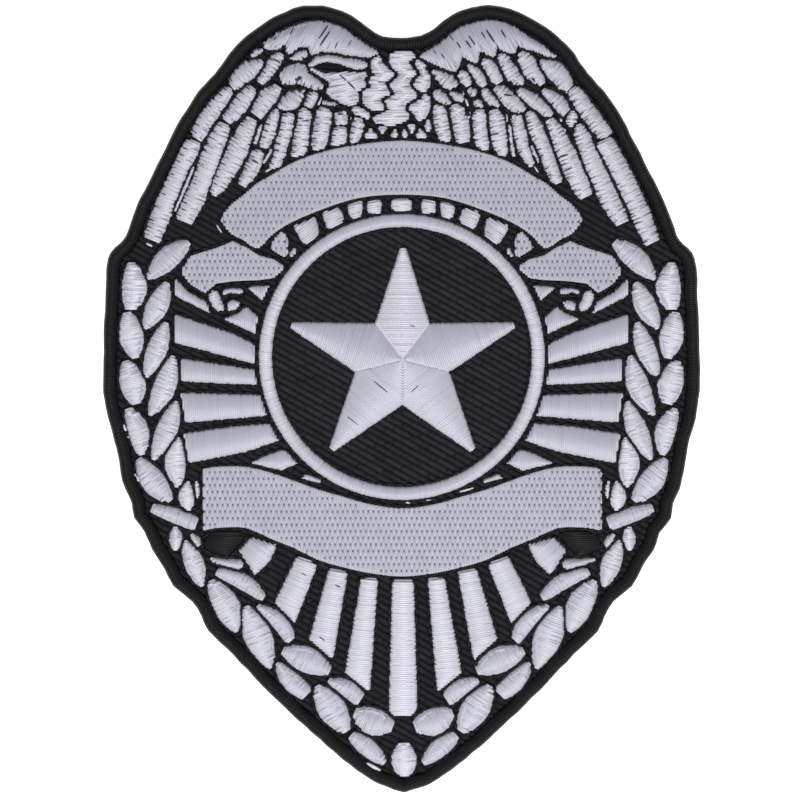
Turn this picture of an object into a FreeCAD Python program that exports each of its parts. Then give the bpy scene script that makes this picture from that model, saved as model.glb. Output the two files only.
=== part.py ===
import FreeCAD, Part
import math
import os

# An embroidered cloth badge shaped like a police shield. All sizes are millimetres.
# The origin lies at the middle of the flat back, +X to the right of the badge as it is worn
# face on, +Y up towards the eagle, +Z out of the front. The cloth's back is the plane Z = 0.

# Layers, from the back
CLOTH_THICK = 1.0
THREAD_GAP = 0.02
PAD_LOW = CLOTH_THICK + THREAD_GAP
LEAF_HIGH = 1.50
RAY_HIGH = 1.45
RIBBON_HIGH = 1.36
RING_HIGH = 1.55
STAR_RIM_HIGH = 1.40
STAR_MID_HIGH = 1.85
PAD_BEVEL = 0.16
CURVE_STEPS = 2

# The sewn design runs slightly to the right below its middle: so much per millimetre down
MIDDLE_DRIFT = 0.006
MIDDLE_STRAIGHT_Y = 5.0

# The shield's outline, its right half from the top notch down to the bottom tip
SHIELD_COLUMNS = ("x", "y")
SHIELD_HALF = (
    (0.0, 46.7), (2.5, 46.9), (4.5, 48.1), (6.5, 49.6), (9.0, 50.6),
    (11.5, 50.85), (14.0, 50.45), (17.0, 49.05), (20.0, 46.95), (22.3, 44.6),
    (24.0, 42.05), (26.0, 39.95), (28.0, 37.0), (29.9, 33.5), (32.15, 29.0),
    (34.15, 25.0), (35.0, 22.7), (35.6, 21.0), (36.4, 20.0), (37.5, 19.0),
    (38.05, 17.0), (38.25, 12.0), (38.5, 4.0), (38.45, 1.0), (37.9, -2.5),
    (36.8, -6.3), (36.3, -9.5), (35.8, -11.5), (34.9, -13.4), (34.6, -15.3),
    (33.2, -17.2), (32.4, -19.3), (30.8, -21.8), (29.6, -24.1), (27.2, -26.0),
    (26.0, -28.0), (25.1, -29.9), (22.0, -32.9), (18.0, -37.1), (14.0, -41.0),
    (10.0, -44.6), (6.2, -47.8), (3.0, -49.7), (0.0, -50.75),
)

# The satin border wraps over the cloth's cut edge. Each row is one corner of its section.
CLOTH_INSET = 0.60
BORDER_COLUMNS = ("inset", "height")
BORDER_SECTION = (
    (0.1, 0.0), (0.0, 1.3), (0.4, 1.85), (1.1, 1.85),
    (1.5, 1.35), (1.5, PAD_LOW), (0.55, PAD_LOW), (0.55, 0.0),
)

# The round field's ring and the five-pointed star in it
RING_X = 0.05
RING_Y = 5.5
RING_OUTER_R = 18.45
RING_INNER_R = 16.8
STAR_X = 0.15
STAR_Y = 5.1
STAR_TIP_WIDTH = 0.7
STAR_COLUMNS = ("tip_x", "tip_y", "notch_x", "notch_y")
STAR_ARMS = (
    (0.2, 19.5, -3.35, 9.8), (-14.2, 9.6, -5.9, 3.6), (-9.0, -6.4, 0.1, -0.6),
    (9.2, -6.5, 6.1, 3.6), (14.5, 9.6, 3.6, 9.8),
)

# Leaves, feathers and slivers are blades: a bent middle line from root to tip, with a width
# at the root, halfway and at the tip. A positive bend bows to the left of root-to-tip.
BLADE_COLUMNS = ("root_x", "root_y", "tip_x", "tip_y", "bend", "root_w", "mid_w", "tip_w")
BLADE_STATIONS = (0.0, 0.14, 0.38, 0.62, 0.86, 1.0)

LAUREL_OUTER = (
    (-34.9, 11.9, -34.9, 17.4, -0.45, 1.4, 2.9, 0.8),
    (-34.4, 5.6, -35.4, 11.0, 0.05, 0.9, 2.9, 1.0),
    (-34.3, -0.3, -35.6, 4.7, -0.2, 1.3, 3.0, 0.8),
    (-33.6, -6.9, -35.2, -1.4, -0.4, 0.8, 2.4, 0.8),
    (-30.0, -12.9, -33.85, -7.9, 0.25, 0.8, 2.8, 0.8),
    (-26.7, -16.0, -32.0, -14.1, -0.1, 1.5, 1.6, 1.0),
    (-29.2, -19.2, -29.2, -16.7, -0.1, 0.6, 1.4, 0.5),
    (-25.9, -23.9, -27.9, -18.4, -0.1, 0.6, 2.2, 0.5),
    (-21.3, -29.7, -24.5, -23.6, -0.2, 0.9, 3.2, 0.7),
    (-17.1, -34.5, -20.1, -27.0, -0.1, 0.7, 3.3, 0.8),
    (-12.4, -37.9, -15.9, -34.2, 0.4, 1.7, 2.2, 0.5),
    (-7.2, -42.6, -10.8, -37.2, 0.05, 1.1, 3.3, 0.8),
    (-2.4, -46.8, -6.3, -43.5, -0.1, 0.7, 2.0, 1.1),
)
LAUREL_INNER = (
    (-32.6, 15.7, -27.7, 20.2, 0.25, 0.4, 2.6, 0.8),
    (-33.1, 9.4, -30.4, 14.9, -0.25, 0.5, 2.5, 0.6),
    (-33.0, 3.1, -30.5, 9.7, -0.15, 0.5, 2.3, 0.6),
    (-32.4, -1.8, -29.6, 5.4, -0.45, 0.4, 2.6, 0.5),
    (-32.0, -7.5, -29.1, -0.5, -0.2, 0.4, 2.4, 0.5),
    (-28.8, -11.1, -28.75, -5.1, 0.5, 0.6, 2.4, 0.35),
    (-27.6, -14.1, -27.7, -10.8, 0.1, 0.7, 1.8, 0.4),
    (-26.1, -19.0, -27.0, -17.6, -0.1, 0.4, 0.7, 0.4),
    (-18.0, -25.5, -23.6, -22.3, -0.5, 0.9, 1.7, 1.0),
    (-14.4, -30.9, -18.4, -26.8, -0.55, 1.2, 1.7, 0.5),
    (-5.5, -38.6, -9.2, -36.4, -0.35, 1.7, 1.8, 0.6),
)
LAUREL_FOLDED = (
    (-9.5, -35.0, -15.1, -32.5, -0.15, 1.0, 3.0, 1.0),
    (-1.4, -42.2, -5.8, -40.5, 0.3, 1.5, 3.2, 1.2),
)
LAUREL_STEMS = (
    (-26.35, -12.6, -26.5, -10.8, 0.0, 0.22, 0.35, 0.22),
    (-20.8, -21.4, -24.4, -20.6, 0.1, 1.2, 0.75, 0.25),
)
BUD = (0.4, -48.4, 0.25, -44.6, 0.0, 1.6, 2.9, 1.3)

# Wing feathers, each from its root near the shoulder down to its tip
LEFT_FEATHERS = (
    (-22.3, 40.0, -26.5, 34.1, -0.25, 1.1, 1.9, 1.7),
    (-27.0, 33.2, -32.2, 20.9, -0.2, 1.9, 2.2, 1.9),
    (-26.85, 30.0, -29.2, 24.4, 0.0, 0.25, 0.35, 0.25),
    (-19.4, 40.1, -22.5, 36.2, 0.15, 1.5, 1.6, 1.2),
    (-23.1, 35.4, -28.1, 23.3, 0.25, 1.4, 2.4, 2.1),
    (-19.4, 36.0, -24.3, 26.7, 0.15, 1.3, 2.3, 1.1),
    (-18.1, 35.4, -18.95, 32.9, 0.0, 0.25, 0.35, 0.25),
    (-16.2, 37.2, -17.9, 32.6, 0.0, 0.8, 1.4, 1.1),
    (-18.2, 32.1, -20.5, 27.9, 0.1, 1.2, 1.5, 0.8),
    (-16.8, 32.2, -17.8, 30.6, 0.0, 0.25, 0.35, 0.25),
    (-14.6, 36.7, -16.4, 30.1, 0.15, 1.4, 1.2, 1.3),
    (-12.5, 37.4, -13.4, 31.6, 0.15, 1.3, 1.45, 1.4),
    (-9.95, 37.6, -10.75, 32.4, 0.05, 1.2, 1.85, 1.3),
    (-7.8, 36.9, -7.8, 35.55, 0.0, 1.0, 1.4, 1.3),
    (-7.9, 35.1, -8.15, 33.0, 0.0, 1.5, 1.7, 1.6),
    (-5.5, 36.1, -6.2, 33.2, 0.0, 0.9, 1.2, 0.8),
)
LEFT_COVERTS = (
    (-18.2, 43.5, -21.8, 40.7, -0.25, 0.9, 2.1, 1.6),
    (-15.8, 44.5, -18.1, 41.1, 0.0, 0.9, 1.1, 0.7),
    (-16.1, 40.2, -18.6, 36.9, -0.3, 1.0, 2.0, 1.4),
    (-11.3, 39.4, -12.1, 37.85, 0.0, 1.0, 0.9, 1.0),
    (-8.4, 38.2, -10.0, 38.25, 0.0, 0.2, 0.35, 0.3),
    (-19.5, 44.4, -18.0, 45.1, 0.0, 0.25, 0.4, 0.3),
)
RIGHT_FEATHERS = (
    (22.3, 40.0, 26.6, 34.1, -0.15, 1.5, 1.8, 1.7),
    (26.2, 33.3, 32.3, 20.5, 0.3, 2.1, 2.2, 1.6),
    (22.0, 37.0, 21.9, 35.4, 0.0, 0.7, 0.95, 0.35),
    (22.9, 35.2, 28.4, 23.0, -0.25, 1.1, 2.2, 1.6),
    (19.3, 36.0, 23.8, 26.5, -0.05, 0.9, 2.2, 1.8),
    (16.6, 36.9, 20.1, 28.2, 0.0, 1.0, 1.6, 1.0),
    (16.8, 32.7, 17.7, 30.7, 0.0, 0.25, 0.35, 0.25),
    (14.9, 36.6, 16.9, 30.4, -0.45, 1.1, 1.4, 0.8),
    (14.0, 35.4, 14.35, 31.6, 0.0, 0.25, 0.3, 0.25),
    (12.0, 37.1, 13.2, 31.5, 0.0, 1.2, 1.75, 1.0),
    (10.2, 37.2, 10.7, 32.4, -0.3, 1.2, 1.5, 1.0),
    (7.0, 37.8, 7.95, 33.45, 0.15, 1.2, 1.8, 1.6),
    (4.8, 37.8, 5.75, 33.5, -0.05, 1.3, 1.45, 1.2),
)
RIGHT_COVERTS = (
    (4.3, 42.3, 6.7, 40.4, 0.15, 0.4, 1.3, 1.1),
    (7.9, 42.2, 8.6, 40.8, 0.0, 0.8, 1.1, 0.9),
    (8.8, 43.1, 10.6, 40.7, 0.1, 0.6, 1.15, 0.8),
    (10.9, 43.8, 12.5, 41.1, 0.05, 0.9, 1.4, 1.1),
    (12.95, 44.5, 15.45, 40.8, -0.3, 0.7, 1.5, 0.6),
    (15.6, 44.6, 18.1, 41.0, -0.15, 0.9, 1.8, 0.8),
    (18.1, 43.6, 21.6, 40.5, 0.35, 0.7, 2.3, 1.5),
    (4.5, 39.6, 6.1, 38.3, 0.0, 0.6, 1.1, 0.6),
    (6.4, 39.6, 7.7, 38.7, 0.0, 0.5, 0.8, 0.5),
    (8.9, 39.9, 9.6, 39.3, 0.0, 0.5, 0.7, 0.6),
    (9.5, 38.6, 10.2, 37.9, 0.0, 0.5, 0.8, 0.6),
    (10.6, 39.8, 12.4, 38.0, 0.0, 0.6, 0.9, 0.5),
    (12.3, 40.2, 15.6, 37.4, -0.05, 0.8, 1.8, 1.1),
    (15.0, 39.95, 19.2, 36.9, 0.1, 0.8, 1.4, 0.8),
    (18.5, 39.8, 21.2, 37.2, 0.2, 0.7, 1.4, 1.2),
)
BREAST_TUFTS = (
    (-4.0, 33.95, -4.0, 34.75, 0.0, 1.5, 0.8, 0.15),
    (-2.45, 35.15, -2.45, 34.55, 0.0, 1.3, 0.7, 0.15),
    (-0.85, 33.95, -0.85, 34.7, 0.0, 1.0, 0.6, 0.15),
    (0.4, 34.0, 0.25, 34.65, 0.0, 0.8, 0.5, 0.15),
    (2.55, 34.0, 2.55, 34.8, 0.0, 1.3, 0.7, 0.15),
    (1.4, 35.3, 1.4, 34.6, 0.0, 0.9, 0.5, 0.15),
    (3.4, 34.8, 3.4, 35.9, 0.0, 0.4, 0.6, 0.3),
    (-6.3, 37.45, -4.2, 36.6, 0.05, 0.3, 0.7, 0.5),
)

# Bands run from left to right; each row is one upright section with its low and high edge
BAND_COLUMNS = ("x", "low", "high")
UPPER_RIBBON_HALF = (
    (23.2, 22.9, 23.6), (21.9, 21.4, 25.2), (20.3, 20.6, 26.4), (18.6, 19.5, 27.9),
    (17.0, 21.1, 28.8), (15.2, 22.4, 29.9), (13.0, 23.5, 31.0), (10.0, 24.7, 32.0),
    (7.0, 25.7, 32.65), (4.0, 26.3, 33.1), (0.0, 26.5, 33.4),
)
LOWER_RIBBON_HALF = (
    (25.8, -16.9, -9.0), (24.4, -16.6, -8.75), (22.4, -16.45, -8.65), (20.0, -16.6, -8.75),
    (17.0, -17.95, -9.5), (14.0, -19.15, -10.55), (11.0, -20.65, -11.65),
    (8.0, -21.55, -12.5), (5.0, -22.25, -13.4), (2.0, -22.7, -13.95), (0.0, -22.8, -14.05),
)
RIBBON_TAIL = (
    (-28.2, 16.2, 16.9), (-27.2, 14.9, 18.5), (-25.4, 13.8, 19.1), (-24.0, 15.0, 19.5),
    (-21.8, 15.3, 20.4), (-20.0, 15.4, 19.6), (-18.5, 15.45, 18.6), (-16.6, 15.7, 18.1),
    (-15.2, 16.9, 17.2),
)
LEFT_CREST = (
    (-17.7, 45.3, 45.9), (-16.0, 45.35, 47.2), (-14.95, 46.2, 47.7), (-14.6, 44.7, 47.9),
    (-13.2, 45.7, 48.35), (-11.95, 45.6, 48.7), (-11.6, 44.55, 48.75), (-10.4, 45.1, 48.8),
    (-8.6, 44.95, 48.4), (-7.2, 44.6, 47.8), (-5.4, 44.4, 46.4), (-3.9, 44.3, 45.4),
    (-3.1, 44.8, 45.0),
)
RIGHT_CREST = (
    (2.6, 44.3, 44.6), (3.4, 43.8, 45.1), (5.0, 43.15, 46.0), (6.2, 42.6, 47.05),
    (7.1, 42.5, 47.85), (7.8, 44.5, 48.2), (8.7, 43.95, 48.5), (9.7, 43.35, 48.75),
    (10.0, 45.15, 48.9), (10.8, 45.0, 48.95), (11.5, 44.3, 49.0), (12.0, 44.4, 48.95),
    (12.3, 45.9, 48.9), (13.2, 45.05, 48.7), (14.6, 44.75, 47.9), (14.95, 46.0, 47.7),
    (15.6, 45.6, 47.2), (17.8, 44.9, 45.95), (18.9, 44.3, 45.0), (19.9, 44.2, 44.4),
)
EAGLE_BROW = (
    (-11.9, 42.95, 43.3), (-11.0, 43.4, 44.2), (-9.4, 43.6, 44.4), (-7.6, 43.25, 44.1),
    (-5.6, 42.75, 43.8), (-4.6, 42.9, 43.5),
)
EAGLE_EYE = (-10.5, 42.95, -7.7, 42.75, 0.1, 0.3, 0.6, 0.25)

# The neck's middle stripe, from the crown down; each row is one level of it
NECK_COLUMNS = ("y", "left", "right")
NECK_STRIPE = (
    (44.9, -0.8, 1.4), (44.3, -1.4, 1.6), (43.6, -1.35, 0.4), (42.8, -1.2, 1.3),
    (42.2, -0.1, 1.8), (41.4, -0.4, 1.0), (40.5, -1.45, 0.9), (39.6, -0.6, 1.75),
    (39.1, -1.0, 1.9), (38.6, -2.1, 1.1), (38.0, -1.8, 0.3), (37.4, -1.2, 0.4),
    (36.8, -2.2, 0.9), (36.2, -3.7, 0.6), (35.8, -3.1, -0.5), (35.45, -2.2, -1.5),
)

# Panels are flat patches of stitching with straight sides; each row is one patch's corners
EAGLE_FACE = (
    (-12.0, 42.7), (-10.9, 42.5), (-9.9, 41.95), (-8.3, 42.2), (-6.0, 42.0), (-4.5, 42.1),
    (-5.0, 41.4), (-4.6, 40.7), (-5.8, 39.8), (-5.6, 38.5), (-6.6, 38.1), (-7.6, 38.2),
    (-9.0, 39.0), (-9.6, 39.7), (-9.2, 40.4), (-9.3, 41.2), (-10.2, 41.7),
)
NECK_PLUMES = (
    ((-3.8, 44.0), (-3.75, 42.9), (-3.55, 42.3), (-3.1, 41.7), (-4.35, 41.15), (-3.75, 40.65),
     (-3.6, 40.2), (-4.9, 39.6), (-4.85, 38.6), (-4.6, 37.9), (-4.2, 37.65), (-2.35, 37.6),
     (-2.45, 38.1), (-2.95, 38.75), (-2.85, 39.15), (-1.45, 39.5), (-1.95, 40.1), (-2.4, 40.75),
     (-2.1, 41.2), (-0.95, 42.1), (-1.75, 42.65), (-2.65, 43.3), (-2.75, 44.25)),
    ((1.7, 43.4), (2.2, 43.6), (2.8, 43.3), (3.2, 42.4), (3.6, 41.4), (3.5, 40.4),
     (3.0, 39.9), (2.0, 40.1), (1.5, 40.8), (2.2, 41.2), (2.6, 41.9), (2.4, 42.8)),
    ((3.0, 39.3), (3.5, 38.9), (3.6, 37.8), (3.2, 36.7), (2.6, 36.2), (1.9, 36.4),
     (2.0, 36.9), (1.0, 37.4), (1.0, 37.95), (1.7, 38.25), (2.7, 38.5)),
)
LEFT_SHOULDER = (
    ((-12.5, 43.2), (-13.6, 43.2), (-14.8, 42.7), (-15.4, 41.9), (-15.3, 41.0), (-13.6, 41.0),
     (-12.3, 40.8), (-11.5, 40.3), (-10.7, 40.1), (-10.3, 40.8), (-12.0, 42.1)),
    ((-14.2, 44.1), (-13.2, 44.95), (-12.5, 45.0), (-12.4, 44.3), (-13.2, 44.05)),
    ((-14.4, 39.7), (-12.7, 39.7), (-13.2, 38.8), (-13.4, 37.8), (-15.1, 37.4), (-15.8, 38.1),
     (-15.2, 38.9)),
)
SIDE_RAYS = (
    ((-29.2, 13.4), (-24.7, 11.1), (-25.2, 12.6), (-27.5, 13.9), (-29.2, 15.6)),
    ((-23.0, 10.4), (-18.9, 8.5), (-18.6, 10.7), (-20.0, 12.0), (-21.2, 11.1)),
    ((-19.8, 14.4), (-18.0, 12.8), (-17.1, 14.7), (-19.0, 14.7)),
    ((-29.2, 7.35), (-19.0, 4.6), (-19.1, 7.2), (-22.0, 8.6), (-29.2, 11.0)),
    ((-28.3, 2.35), (-18.75, 1.9), (-19.0, 3.85), (-28.4, 5.3)),
    ((-27.85, -2.95), (-17.4, -2.1), (-18.3, 0.55), (-28.5, 0.9)),
    ((-27.4, -8.2), (-20.0, -6.7), (-15.9, -5.3), (-17.1, -3.1), (-22.0, -3.5), (-28.1, -4.4)),
    ((-19.5, -8.2), (-15.5, -9.15), (-13.5, -8.25), (-14.9, -6.6), (-15.6, -6.6), (-17.0, -7.0)),
    ((-12.8, -10.2), (-10.5, -10.8), (-10.5, -10.35), (-12.4, -9.6)),
)
BOTTOM_RAYS = (
    ((-5.15, -23.15), (-3.15, -23.2), (-4.15, -37.7), (-7.2, -35.2)),
    ((-9.3, -21.9), (-7.05, -22.35), (-8.9, -33.5), (-11.85, -30.9)),
    ((-13.5, -20.3), (-10.95, -21.35), (-13.8, -28.75), (-16.3, -26.2)),
    ((-19.4, -17.9), (-16.2, -18.85), (-17.0, -20.7), (-18.9, -22.6), (-20.9, -19.5)),
)
CENTRE_RAY = (
    (-1.1, -23.4), (1.5, -23.4), (1.95, -39.9), (1.3, -40.7), (-1.1, -40.7), (-1.55, -40.0),
)
TOP_RAYS = (
    ((-4.3, 24.15), (-2.7, 24.1), (-2.65, 25.75), (-4.35, 25.35)),
    ((-6.55, 23.5), (-5.25, 23.75), (-5.1, 25.5), (-6.85, 25.0)),
    ((-9.5, 22.05), (-7.5, 23.2), (-8.0, 24.6), (-10.1, 24.05)),
    ((-12.5, 20.05), (-10.75, 21.3), (-11.1, 23.4), (-13.8, 22.3)),
)
TOP_MIDDLE_RAY = ((-1.2, 24.5), (1.2, 24.5), (1.15, 25.8), (-1.2, 25.8))
RIBBON_RETURN = (
    ((-17.0, 19.6), (-16.3, 20.8), (-15.5, 21.6), (-14.9, 21.2), (-14.6, 19.6), (-14.9, 18.3),
     (-15.8, 18.8)),
    ((-14.1, 19.8), (-13.55, 19.1), (-14.35, 18.3)),
)
RIBBON_CURL = (
    ((-24.9, 13.3), (-24.5, 13.95), (-24.0, 14.1), (-23.7, 13.8), (-23.4, 12.8), (-22.9, 12.0),
     (-23.0, 11.5), (-23.7, 11.5), (-24.4, 12.1)),
    ((-23.0, 13.5), (-22.1, 13.9), (-20.6, 13.6), (-20.6, 14.3), (-22.0, 14.35), (-22.9, 14.2)),
    ((-22.3, 11.5), (-21.4, 11.75), (-20.9, 12.2), (-21.0, 12.6), (-21.8, 12.8), (-22.5, 12.4)),
)
RIBBON_SHADOW = (
    (-25.4, -18.0), (-24.5, -17.3), (-22.5, -16.9), (-20.7, -17.1), (-20.1, -17.6),
    (-21.2, -18.9), (-22.5, -20.2), (-23.8, -19.9), (-25.4, -19.1),
)


def middle_x(y):
    """Where the badge's middle line lies at height y."""
    return MIDDLE_DRIFT * max(0.0, MIDDLE_STRAIGHT_Y - y)


def mirrored(points):
    """The same outline on the other half of the badge, walked in the same sense."""
    return [(2 * middle_x(y) - x, y) for x, y in reversed(points)]


def curve_through(points, steps=CURVE_STEPS):
    """A smooth open line through the given points, with steps parts between each two."""
    ends = [points[0]] + list(points) + [points[-1]]
    line = []
    for a, b, c, d in zip(ends, ends[1:], ends[2:], ends[3:]):
        for k in range(steps):
            t = k / steps
            line.append(tuple(
                0.5 * (2 * q + (r - p) * t + (2 * p - 5 * q + 4 * r - s) * t ** 2
                       + (3 * q - p - 3 * r + s) * t ** 3)
                for p, q, r, s in zip(a, b, c, d)))
    line.append(tuple(points[-1]))
    return line


def counter_clockwise(points):
    """The outline turned, where it has to be, so that its inside lies on the left."""
    area = sum(x0 * y1 - x1 * y0 for (x0, y0), (x1, y1) in zip(points, points[1:] + points[:1]))
    return points if area > 0 else points[::-1]


def inset_outline(points, inset):
    """The outline with every side moved inwards by the same distance."""
    moved = []
    for (ax, ay), (bx, by), (cx, cy) in zip(points[-1:] + points[:-1], points, points[1:] + points[:1]):
        in_len = math.hypot(bx - ax, by - ay)
        out_len = math.hypot(cx - bx, cy - by)
        n1 = (-(by - ay) / in_len, (bx - ax) / in_len)
        n2 = (-(cy - by) / out_len, (cx - bx) / out_len)
        spread = max(1 + n1[0] * n2[0] + n1[1] * n2[1], 0.35)
        moved.append((bx + inset * (n1[0] + n2[0]) / spread, by + inset * (n1[1] + n2[1]) / spread))
    return moved


def flat_face(points, z):
    """A plane face inside the outline at height z."""
    corners = [FreeCAD.Vector(x, y, z) for x, y in points]
    return Part.Face(Part.makePolygon(corners + corners[:1]))


def wall_faces(low_points, low, high_points, high):
    """Two plane triangles for each side between two outlines with the same number of corners."""
    faces = []
    lower = [FreeCAD.Vector(x, y, low) for x, y in low_points]
    upper = [FreeCAD.Vector(x, y, high) for x, y in high_points]
    for k in range(len(lower)):
        a, b = lower[k - 1], lower[k]
        c, d = upper[k], upper[k - 1]
        faces.append(Part.Face(Part.makePolygon([a, b, c, a])))
        faces.append(Part.Face(Part.makePolygon([a, c, d, a])))
    return faces


def closed_solid(faces):
    """One closed solid with its faces outwards."""
    shell = Part.makeShell(faces)
    shell.sewShape()
    solid = Part.makeSolid(shell)
    if solid.Volume < 0:
        solid.reverse()
    return solid


def stitched_pad(foot, crown, high):
    """A raised patch of stitching from its foot on the cloth to its smaller crown."""
    faces = [flat_face(foot, PAD_LOW), flat_face(crown, high)]
    return closed_solid(faces + wall_faces(foot, PAD_LOW, crown, high))


def blade_outline(row, shrink):
    """The outline of one blade, with its sides and ends drawn in by shrink."""
    root_x, root_y, tip_x, tip_y, bend, root_w, mid_w, tip_w = row
    length = math.hypot(tip_x - root_x, tip_y - root_y)
    ux, uy = (tip_x - root_x) / length, (tip_y - root_y) / length
    pull = min(shrink, 0.2 * length)
    left, right = [], []
    for t in BLADE_STATIONS:
        width = root_w * (1 - t) * (1 - 2 * t) + 4 * mid_w * t * (1 - t) + tip_w * t * (2 * t - 1)
        half = max(width / 2 - shrink, 0.22 * width)
        along = pull + t * (length - 2 * pull)
        bow = 4 * bend * t * (1 - t)
        left.append((root_x + ux * along - uy * (bow + half), root_y + uy * along + ux * (bow + half)))
        right.append((root_x + ux * along - uy * (bow - half), root_y + uy * along + ux * (bow - half)))
    return right + left[::-1]


def blade_pad(row, high=LEAF_HIGH, side=1):
    """A leaf, feather or sliver; side -1 makes it for the other half of the badge."""
    foot = blade_outline(row, 0.0)
    crown = blade_outline(row, PAD_BEVEL)
    if side < 0:
        foot, crown = mirrored(foot), mirrored(crown)
    return stitched_pad(foot, crown, high)


def panel_pad(corners, high=RAY_HIGH, side=1):
    """A straight-sided patch; side -1 makes it for the other half of the badge."""
    foot = counter_clockwise(list(corners))
    if side < 0:
        foot = mirrored(foot)
    return stitched_pad(foot, inset_outline(foot, PAD_BEVEL), high)


def band_outline(rows, steps):
    """The outline of a band given by its upright sections."""
    low = [(x, y) for x, y, _ in rows]
    high = [(x, y) for x, _, y in rows]
    if steps > 1:
        low, high = curve_through(low, steps), curve_through(high, steps)
    return counter_clockwise(low + high[::-1])


def both_halves(half_rows):
    """A symmetric band's rows from its left end to its right end."""
    rows = [(2 * middle_x(high) - x, low, high) for x, low, high in half_rows]
    return rows[:-1] + list(reversed(half_rows))


def shield_outline():
    """The whole outline of the shield, counter-clockwise."""
    half = curve_through(SHIELD_HALF)
    right = [(middle_x(y) + x, y) for x, y in half]
    left = [(middle_x(y) - x, y) for x, y in reversed(half)][1:-1]
    return counter_clockwise(right + left)


def ground_cloth():
    """The black twill that everything is sewn on."""
    outline = inset_outline(shield_outline(), CLOTH_INSET)
    return flat_face(outline, 0.0).extrude(FreeCAD.Vector(0, 0, CLOTH_THICK))


def border():
    """The satin border, wrapped round the cloth's edge: one section carried round the outline."""
    outline = shield_outline()
    loops = [(inset_outline(outline, inset), height) for inset, height in BORDER_SECTION]
    faces = []
    for (inner, inner_z), (outer, outer_z) in zip(loops[-1:] + loops[:-1], loops):
        faces += wall_faces(inner, inner_z, outer, outer_z)
    return closed_solid(faces)


def center_ring():
    """The narrow ring round the star's field, with eased edges."""
    section = (
        (RING_INNER_R, PAD_LOW), (RING_OUTER_R, PAD_LOW), (RING_OUTER_R - PAD_BEVEL, RING_HIGH),
        (RING_INNER_R + PAD_BEVEL, RING_HIGH),
    )
    corners = [FreeCAD.Vector(RING_X + r, RING_Y, z) for r, z in section]
    face = Part.Face(Part.makePolygon(corners + corners[:1]))
    return face.revolve(FreeCAD.Vector(RING_X, RING_Y, 0), FreeCAD.Vector(0, 0, 1), 360)


def star_outline():
    """Blunt tips and sharp notches in turn, starting at the top tip."""
    points = []
    for tip_x, tip_y, notch_x, notch_y in STAR_ARMS:
        reach = math.hypot(tip_x - STAR_X, tip_y - STAR_Y)
        ux, uy = (tip_x - STAR_X) / reach, (tip_y - STAR_Y) / reach
        for across in (-STAR_TIP_WIDTH / 2, STAR_TIP_WIDTH / 2):
            points.append((tip_x - across * uy, tip_y + across * ux))
        points.append((notch_x, notch_y))
    return points


def star():
    """The star: every arm rises from its rim to the middle of the star."""
    foot = star_outline()
    rim = inset_outline(foot, PAD_BEVEL)
    middle = FreeCAD.Vector(STAR_X, STAR_Y, STAR_MID_HIGH)
    faces = [flat_face(foot, PAD_LOW)] + wall_faces(foot, PAD_LOW, rim, STAR_RIM_HIGH)
    crown = [FreeCAD.Vector(x, y, STAR_RIM_HIGH) for x, y in rim]
    for a, b in zip(crown, crown[1:] + crown[:1]):
        faces.append(Part.Face(Part.makePolygon([a, b, middle, a])))
    return closed_solid(faces)


def ribbon(rows):
    """A long ribbon, left bare where the real one carries a word."""
    foot = band_outline(rows, CURVE_STEPS)
    return stitched_pad(foot, inset_outline(foot, PAD_BEVEL), RIBBON_HIGH)


def ribbon_tail(side):
    """The free end of the upper ribbon, below its fold."""
    foot = band_outline(RIBBON_TAIL, 1)
    if side < 0:
        foot = mirrored(foot)
    return stitched_pad(foot, inset_outline(foot, PAD_BEVEL), RIBBON_HIGH)


def crest(rows):
    """The top of a wing, toothed along its lower edge."""
    foot = band_outline(rows, 1)
    return stitched_pad(foot, inset_outline(foot, PAD_BEVEL * 0.6), LEAF_HIGH)


def neck_stripe():
    """The wavy stripe down the middle of the eagle's neck."""
    right = [(x, y) for y, _, x in NECK_STRIPE]
    left = [(x, y) for y, x, _ in NECK_STRIPE]
    foot = counter_clockwise(right + left[::-1])
    return stitched_pad(foot, inset_outline(foot, PAD_BEVEL * 0.6), LEAF_HIGH)


def blades(rows, high=LEAF_HIGH, side=1):
    """Several blades as one sub-part."""
    return Part.makeCompound([blade_pad(row, high, side) for row in rows])


def panels(rows, high=RAY_HIGH, side=1):
    """Several straight-sided patches as one sub-part."""
    return Part.makeCompound([panel_pad(corners, high, side) for corners in rows])


def bottom_rays():
    """The nine rays that fan out below the lower ribbon."""
    pads = [panel_pad(CENTRE_RAY)]
    for side in (1, -1):
        pads += [panel_pad(corners, RAY_HIGH, side) for corners in BOTTOM_RAYS]
    return Part.makeCompound(pads)


def top_rays():
    """The nine short rays between the upper ribbon and the ring."""
    pads = [panel_pad(TOP_MIDDLE_RAY)]
    for side in (1, -1):
        pads += [panel_pad(corners, RAY_HIGH, side) for corners in TOP_RAYS]
    return Part.makeCompound(pads)


def neck():
    """The stripe and the plumes beside it."""
    return Part.makeCompound([neck_stripe()] + [panel_pad(row, LEAF_HIGH) for row in NECK_PLUMES])


def left_coverts():
    """The short feathers over the left wing, with the patches at its shoulder."""
    pads = [blade_pad(row) for row in LEFT_COVERTS]
    return Part.makeCompound(pads + [panel_pad(row, LEAF_HIGH) for row in LEFT_SHOULDER])


def laurel(rows, side):
    """One row of laurel leaves."""
    return blades(rows, LEAF_HIGH, side)


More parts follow.
